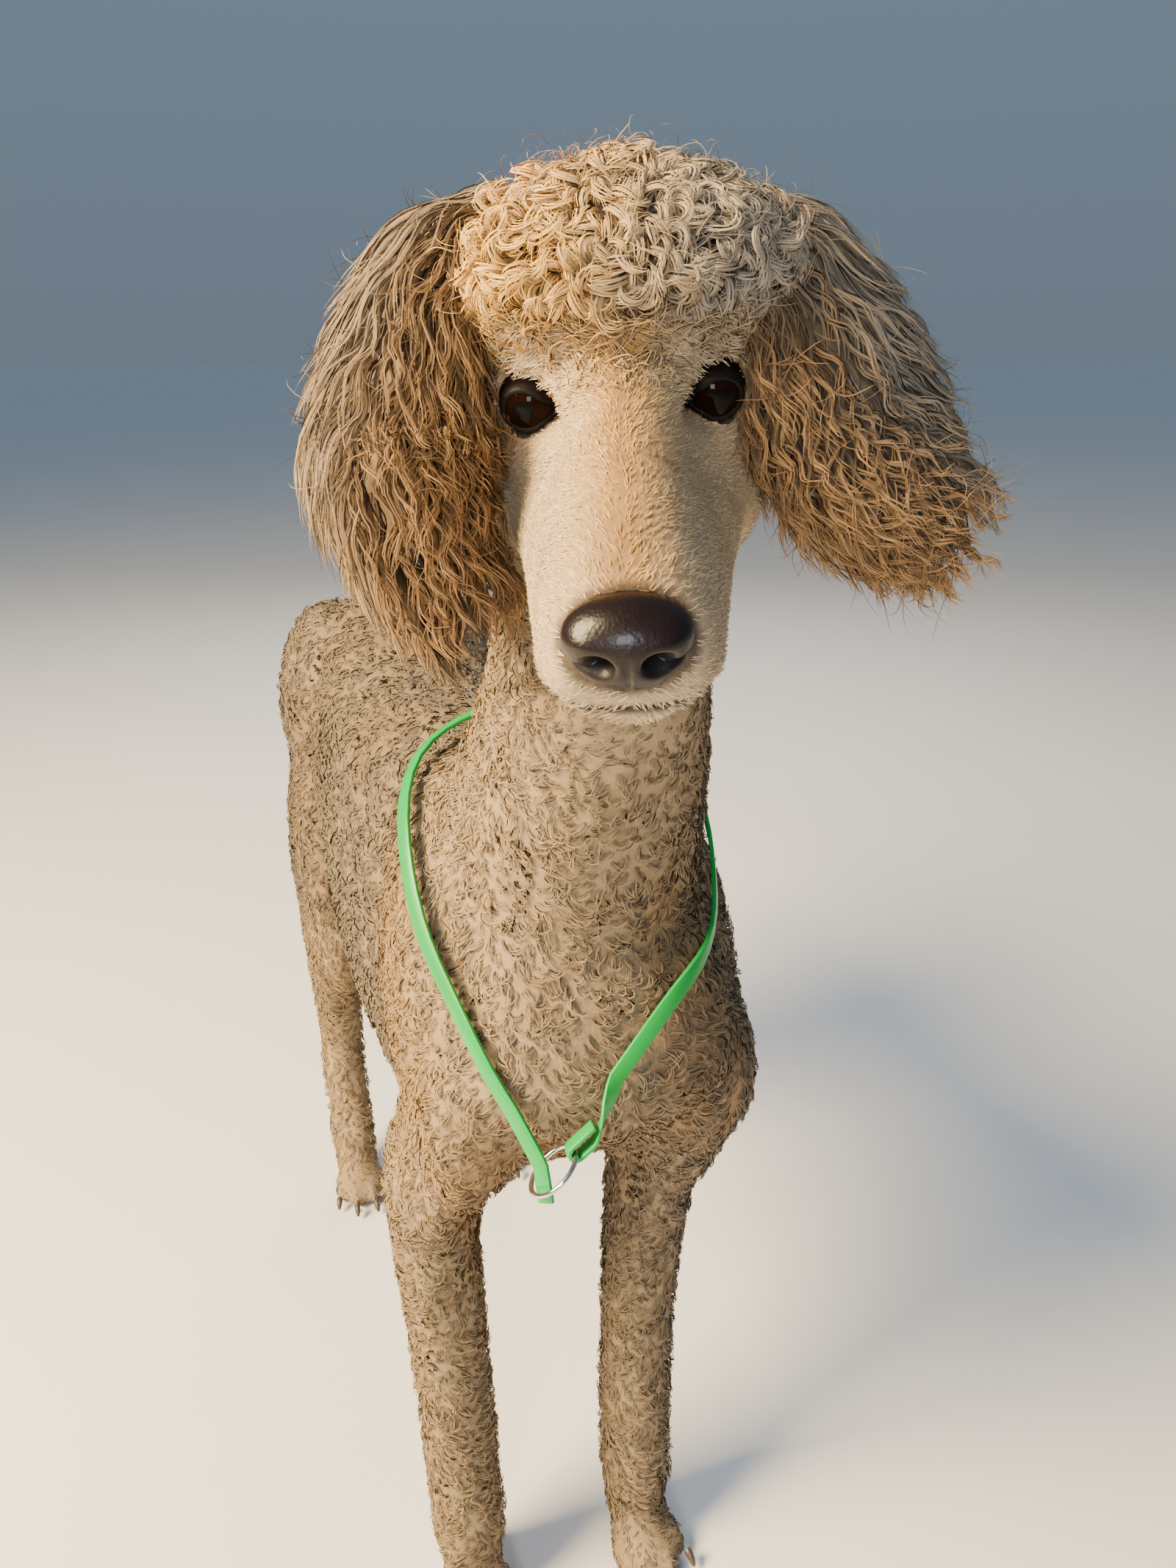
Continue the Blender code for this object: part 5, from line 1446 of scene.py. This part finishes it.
def build_nose():
    """The leather of the nose with two forward nostrils, their slits and the groove between them."""
    made = ellipsoid_mesh("nose_pad", np.zeros(3), np.ones(3), 0.0, 120, 80)
    out = unit(to_head(points_of(made)))
    place = out * NOSE_HALF @ about_x(-12).T
    place[:, 0] *= 1 + 0.18 * np.clip(place[:, 2] / NOSE_HALF[2], -1, 1)
    x, z = np.abs(place[:, 0]), place[:, 2]
    front = ramp(-out[:, 1], 0.05, 0.45)
    hole = np.exp(-((((x - 0.0086) / 0.0040) ** 2 + ((z + 0.0010) / 0.0034) ** 2) ** 2))
    slit = np.exp(-(((x - 0.0145) / 0.0036) ** 2 + ((z + 0.0028) / 0.0013) ** 2))
    groove = bell(x, 0, 0.0008) * (1 - ramp(z, -0.003, 0.004))
    wing = np.exp(-(((x - 0.0125) / 0.0050) ** 2 + ((z - 0.0048) / 0.0030) ** 2))
    inward = front * (hole * 0.0080 + groove * 0.0011 - wing * 0.0008) + slit * 0.0024
    place -= out * inward[:, None]
    set_points(made, from_head(place + NOSE_PLACE))
    # painted shade: black inside the nostrils and their slits
    set_attribute(made.data, "hole", np.clip(front * hole * 1.4 + slit * 0.8, 0, 1), "FLOAT", "value")
    dress(smooth_shaded(made), nose_material())
    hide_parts("nose")


# Claws, in the part's own places: each foot, and each toe's offset from it with its turn in degrees.

FORE_FOOT, HIND_FOOT = (0.064, -0.200), (0.076, 0.262)
TOES = ((-0.0215, -0.010, -12), (-0.0085, -0.026, -4), (0.0085, -0.026, 4), (0.0215, -0.010, 12))
TOE_LENGTH = 0.0235
TOE_HEIGHT = 0.0135
CLAW_LENGTH = 0.0095
CLAW_DROP = 0.0058
CLAW_RADIUS = 0.0027


def claw_points(root, way, rings, around):
    """Rings of points from the root of a claw to its tip, which bends down."""
    left = np.array((-way[1], way[0], 0.0))
    points = []
    for i in range(rings):
        share = i / (rings - 1)
        size = CLAW_RADIUS * math.sqrt(max(0.0, 1 - share**2.2)) + 0.0002
        middle = root + way * CLAW_LENGTH * share + np.array((0, 0, -CLAW_DROP * share**1.7))
        for j in range(around):
            angle = 2 * math.pi * j / around
            off = left * math.cos(angle) * size + np.array((0, 0, 1.2 * math.sin(angle) * size))
            points.append(middle + off + SHIFT)
    return points


def claws(rings=8, around=12):
    """The claws of all sixteen toes, whose roots lie inside the toes' ends."""
    points, faces = [], []
    feet = [(x * side, y) for x, y in (FORE_FOOT, HIND_FOOT) for side in (1, -1)]
    for x, y in feet:
        for across, ahead, turn in TOES:
            way = np.array((math.sin(math.radians(turn)), -math.cos(math.radians(turn)), 0.0))
            root = np.array((x + across, y + ahead - 0.016, TOE_HEIGHT + 0.001)) + way * (TOE_LENGTH - 0.003)
            base = len(points)
            points += claw_points(root, way, rings, around)
            faces += [tuple(base + v for v in face) for face in tube_faces(rings, around, last=True)]
    made = mesh_object("claws", points, faces)
    outward_faces(made)
    horn = mottled_material("claw_horn", 500.0, 3.0, (0.035, 0.024, 0.020), (0.10, 0.075, 0.062), 0.35)
    dress(smooth_shaded(made), horn)


# Collar.


def strap_material():
    """Smooth coated green webbing with a faint weave and lighter worn edges."""
    look = new_look("coated_webbing")
    place = look.place()
    colour = look.mixed(look.noise(60.0, 2.0, place), (0.0, 0.24, 0.030), (0.002, 0.33, 0.045))
    edge = look.mapped(look.node("ShaderNodeNewGeometry").outputs["Pointiness"], 0.53, 0.62, 0.0, 0.5)
    look.bump(look.noise(1400.0, 2.0, place), 0.12, 0.0002)
    return look.finished(look.mixed(edge, colour, (0.03, 0.52, 0.12)), 0.32)


def build_strap():
    """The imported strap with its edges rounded."""

    def into_quads(bm):
        bmesh.ops.join_triangles(bm, faces=bm.faces, angle_face_threshold=0.9, angle_shape_threshold=3.2)

    made = joined("strap", [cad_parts["collar_strap"]])
    reworked(made.data, into_quads)
    bevel = made.modifiers.new("bevel", "BEVEL")
    bevel.width = 0.0006
    bevel.segments = 2
    bevel.limit_method = "ANGLE"
    bevel.angle_limit = math.radians(45)
    applied(made)
    dress(smooth_shaded(made), strap_material())
    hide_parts("collar_strap")


def ring_material():
    look = new_look("polished_steel")
    brush = look.noise(300.0, 2.0, look.place())
    return look.finished((0.62, 0.62, 0.64), look.mapped(brush, 0.3, 0.7, 0.14, 0.26), Metallic=1.0)


RING_RADIUS = 0.0150
RING_WIRE = 0.0013
RING_PLACE = np.array((-0.0341, -0.3210, 0.4577)) + SHIFT
RING_FACING = unit(np.array((0.640, -0.207, -0.815)))
RING_UPWARD = np.array((0.735, 0.019, 0.679))


def build_ring(steps=96, around=16):
    """The round wire ring that hangs at the throat."""
    up = tangent(RING_UPWARD[None], RING_FACING[None])[0]
    across = np.cross(RING_FACING, up)
    points = []
    for i in range(steps):
        angle = 2 * math.pi * i / steps
        spoke = up * math.cos(angle) + across * math.sin(angle)
        for j in range(around):
            turn = 2 * math.pi * j / around
            reach = RING_RADIUS + RING_WIRE * math.cos(turn)
            points.append(RING_PLACE + spoke * reach + RING_FACING * RING_WIRE * math.sin(turn))
    made = mesh_object("ring", points, tube_faces(steps, around, closed=True))
    dress(smooth_shaded(made), ring_material())
    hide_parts("collar_ring")


# The pieces, in an order that the random draws depend on.

SIDES = (("left", 1), ("right", -1))
face_hair()
brow_hair()
topknot()
for NAME, SIDE in SIDES:
    ear_flap(NAME, SIDE)
    ear_hair(NAME, SIDE)
body_tufts("coat_neck", is_neck, 0.0046, NECK_UP)
body_tufts("coat_chest_right", lambda p: is_chest(p, False), 0.0049, LENGTHWISE)
body_tufts("coat_chest_left", lambda p: is_chest(p, True), 0.0049, LENGTHWISE)
body_tufts("coat_trunk_front", lambda p: is_trunk(p, False), 0.0063, LENGTHWISE, each=4, steps=5, width=0.22)
body_tufts("coat_trunk_back", lambda p: is_trunk(p, True), 0.0063, LENGTHWISE, each=4, steps=5, width=0.22)
for NAME, SIDE in SIDES:
    body_tufts("coat_foreleg_" + NAME, lambda p, s=SIDE: is_foreleg(p, s), 0.0046, UPRIGHT)
    body_tufts("coat_hindleg_" + NAME, lambda p, s=SIDE: is_hindleg(p, s), 0.0054, UPRIGHT, each=4, steps=5)
body_tufts("coat_tail", is_tail, 0.0054, TAILWISE, each=4, steps=5)
pompon()
EYE = eye_material()
LID = mottled_material(
    "lid_skin", 900.0, 4.0, (0.003, 0.0024, 0.0026), (0.009, 0.0065, 0.006), 0.5, specular=0.10, ridges=(0.4, 0.0003)
)
for NAME, SIDE in SIDES:
    eyeball(NAME, SIDE, EYE)
    lids(NAME, SIDE, LID)
build_nose()
claws()
build_strap()
build_ring()


# Studio.

# Area lights: name, place, size, power and colour, and the place they all face.
LIGHTS = (
    ("key", (-2.15, -0.42, 2.05), 1.2, 420.0, (1.0, 0.76, 0.42)),
    ("rim", (0.9, 2.4, 2.2), 1.4, 40.0, (0.94, 0.96, 1.0)),
    ("catch", (-0.62, -1.60, 1.02), 0.36, 11.0, (0.86, 0.94, 1.0)),
)
LIT = Vector((0.0, -0.15, 0.60))
FLOOR_HALF = 60


def sky(world):
    """A pale backdrop that meets the far floor without a line, brighter overhead."""
    look = Look(world, "Background")
    height = look.node("ShaderNodeSeparateXYZ", {0: look.place("Generated")}).outputs[2]
    colour = look.mixed(look.mapped(height, 0.0, 0.5), (0.50, 0.65, 0.82), (0.62, 0.84, 1.12))
    look.put(look.shader, {"Color": colour, "Strength": 0.30})


def studio():
    corners = [(x * FLOOR_HALF, y * FLOOR_HALF, 0) for x, y in ((-1, -1), (1, -1), (1, 1), (-1, 1))]
    floor = mesh_object("floor", corners, [(0, 1, 2, 3)])
    floor.data.materials.append(
        mottled_material("floor", 3.0, 3.0, (0.78, 0.775, 0.765), (0.81, 0.805, 0.795), 0.7)
    )
    world = bpy.context.scene.world or bpy.data.worlds.new("studio")
    bpy.context.scene.world = world
    sky(world)
    for name, place, size, power, colour in LIGHTS:
        light = bpy.data.lights.new(name, "AREA")
        light.size = size
        light.energy = power
        light.color = colour
        lamp = linked(name, light)
        lamp.location = place
        lamp.rotation_euler = (LIT - Vector(place)).to_track_quat("-Z", "Y").to_euler()


def photo_camera():
    data = bpy.data.cameras.new("photo")
    camera = linked("photo", data)
    flat = math.cos(CAMERA_DIP)
    ahead = Vector((CAMERA_FORWARD[0] * flat, CAMERA_FORWARD[1] * flat, -math.sin(CAMERA_DIP)))
    camera.location = HEAD_ORIGIN + CAMERA_FROM_HEAD
    camera.rotation_euler = ahead.to_track_quat("-Z", "Y").to_euler()
    data.sensor_fit = "HORIZONTAL"
    data.angle = 2 * math.atan(PHOTO_WIDTH / 2 / FOCAL_PIXELS)
    data.clip_start = 0.01
    bpy.context.scene.camera = camera


studio()
photo_camera()
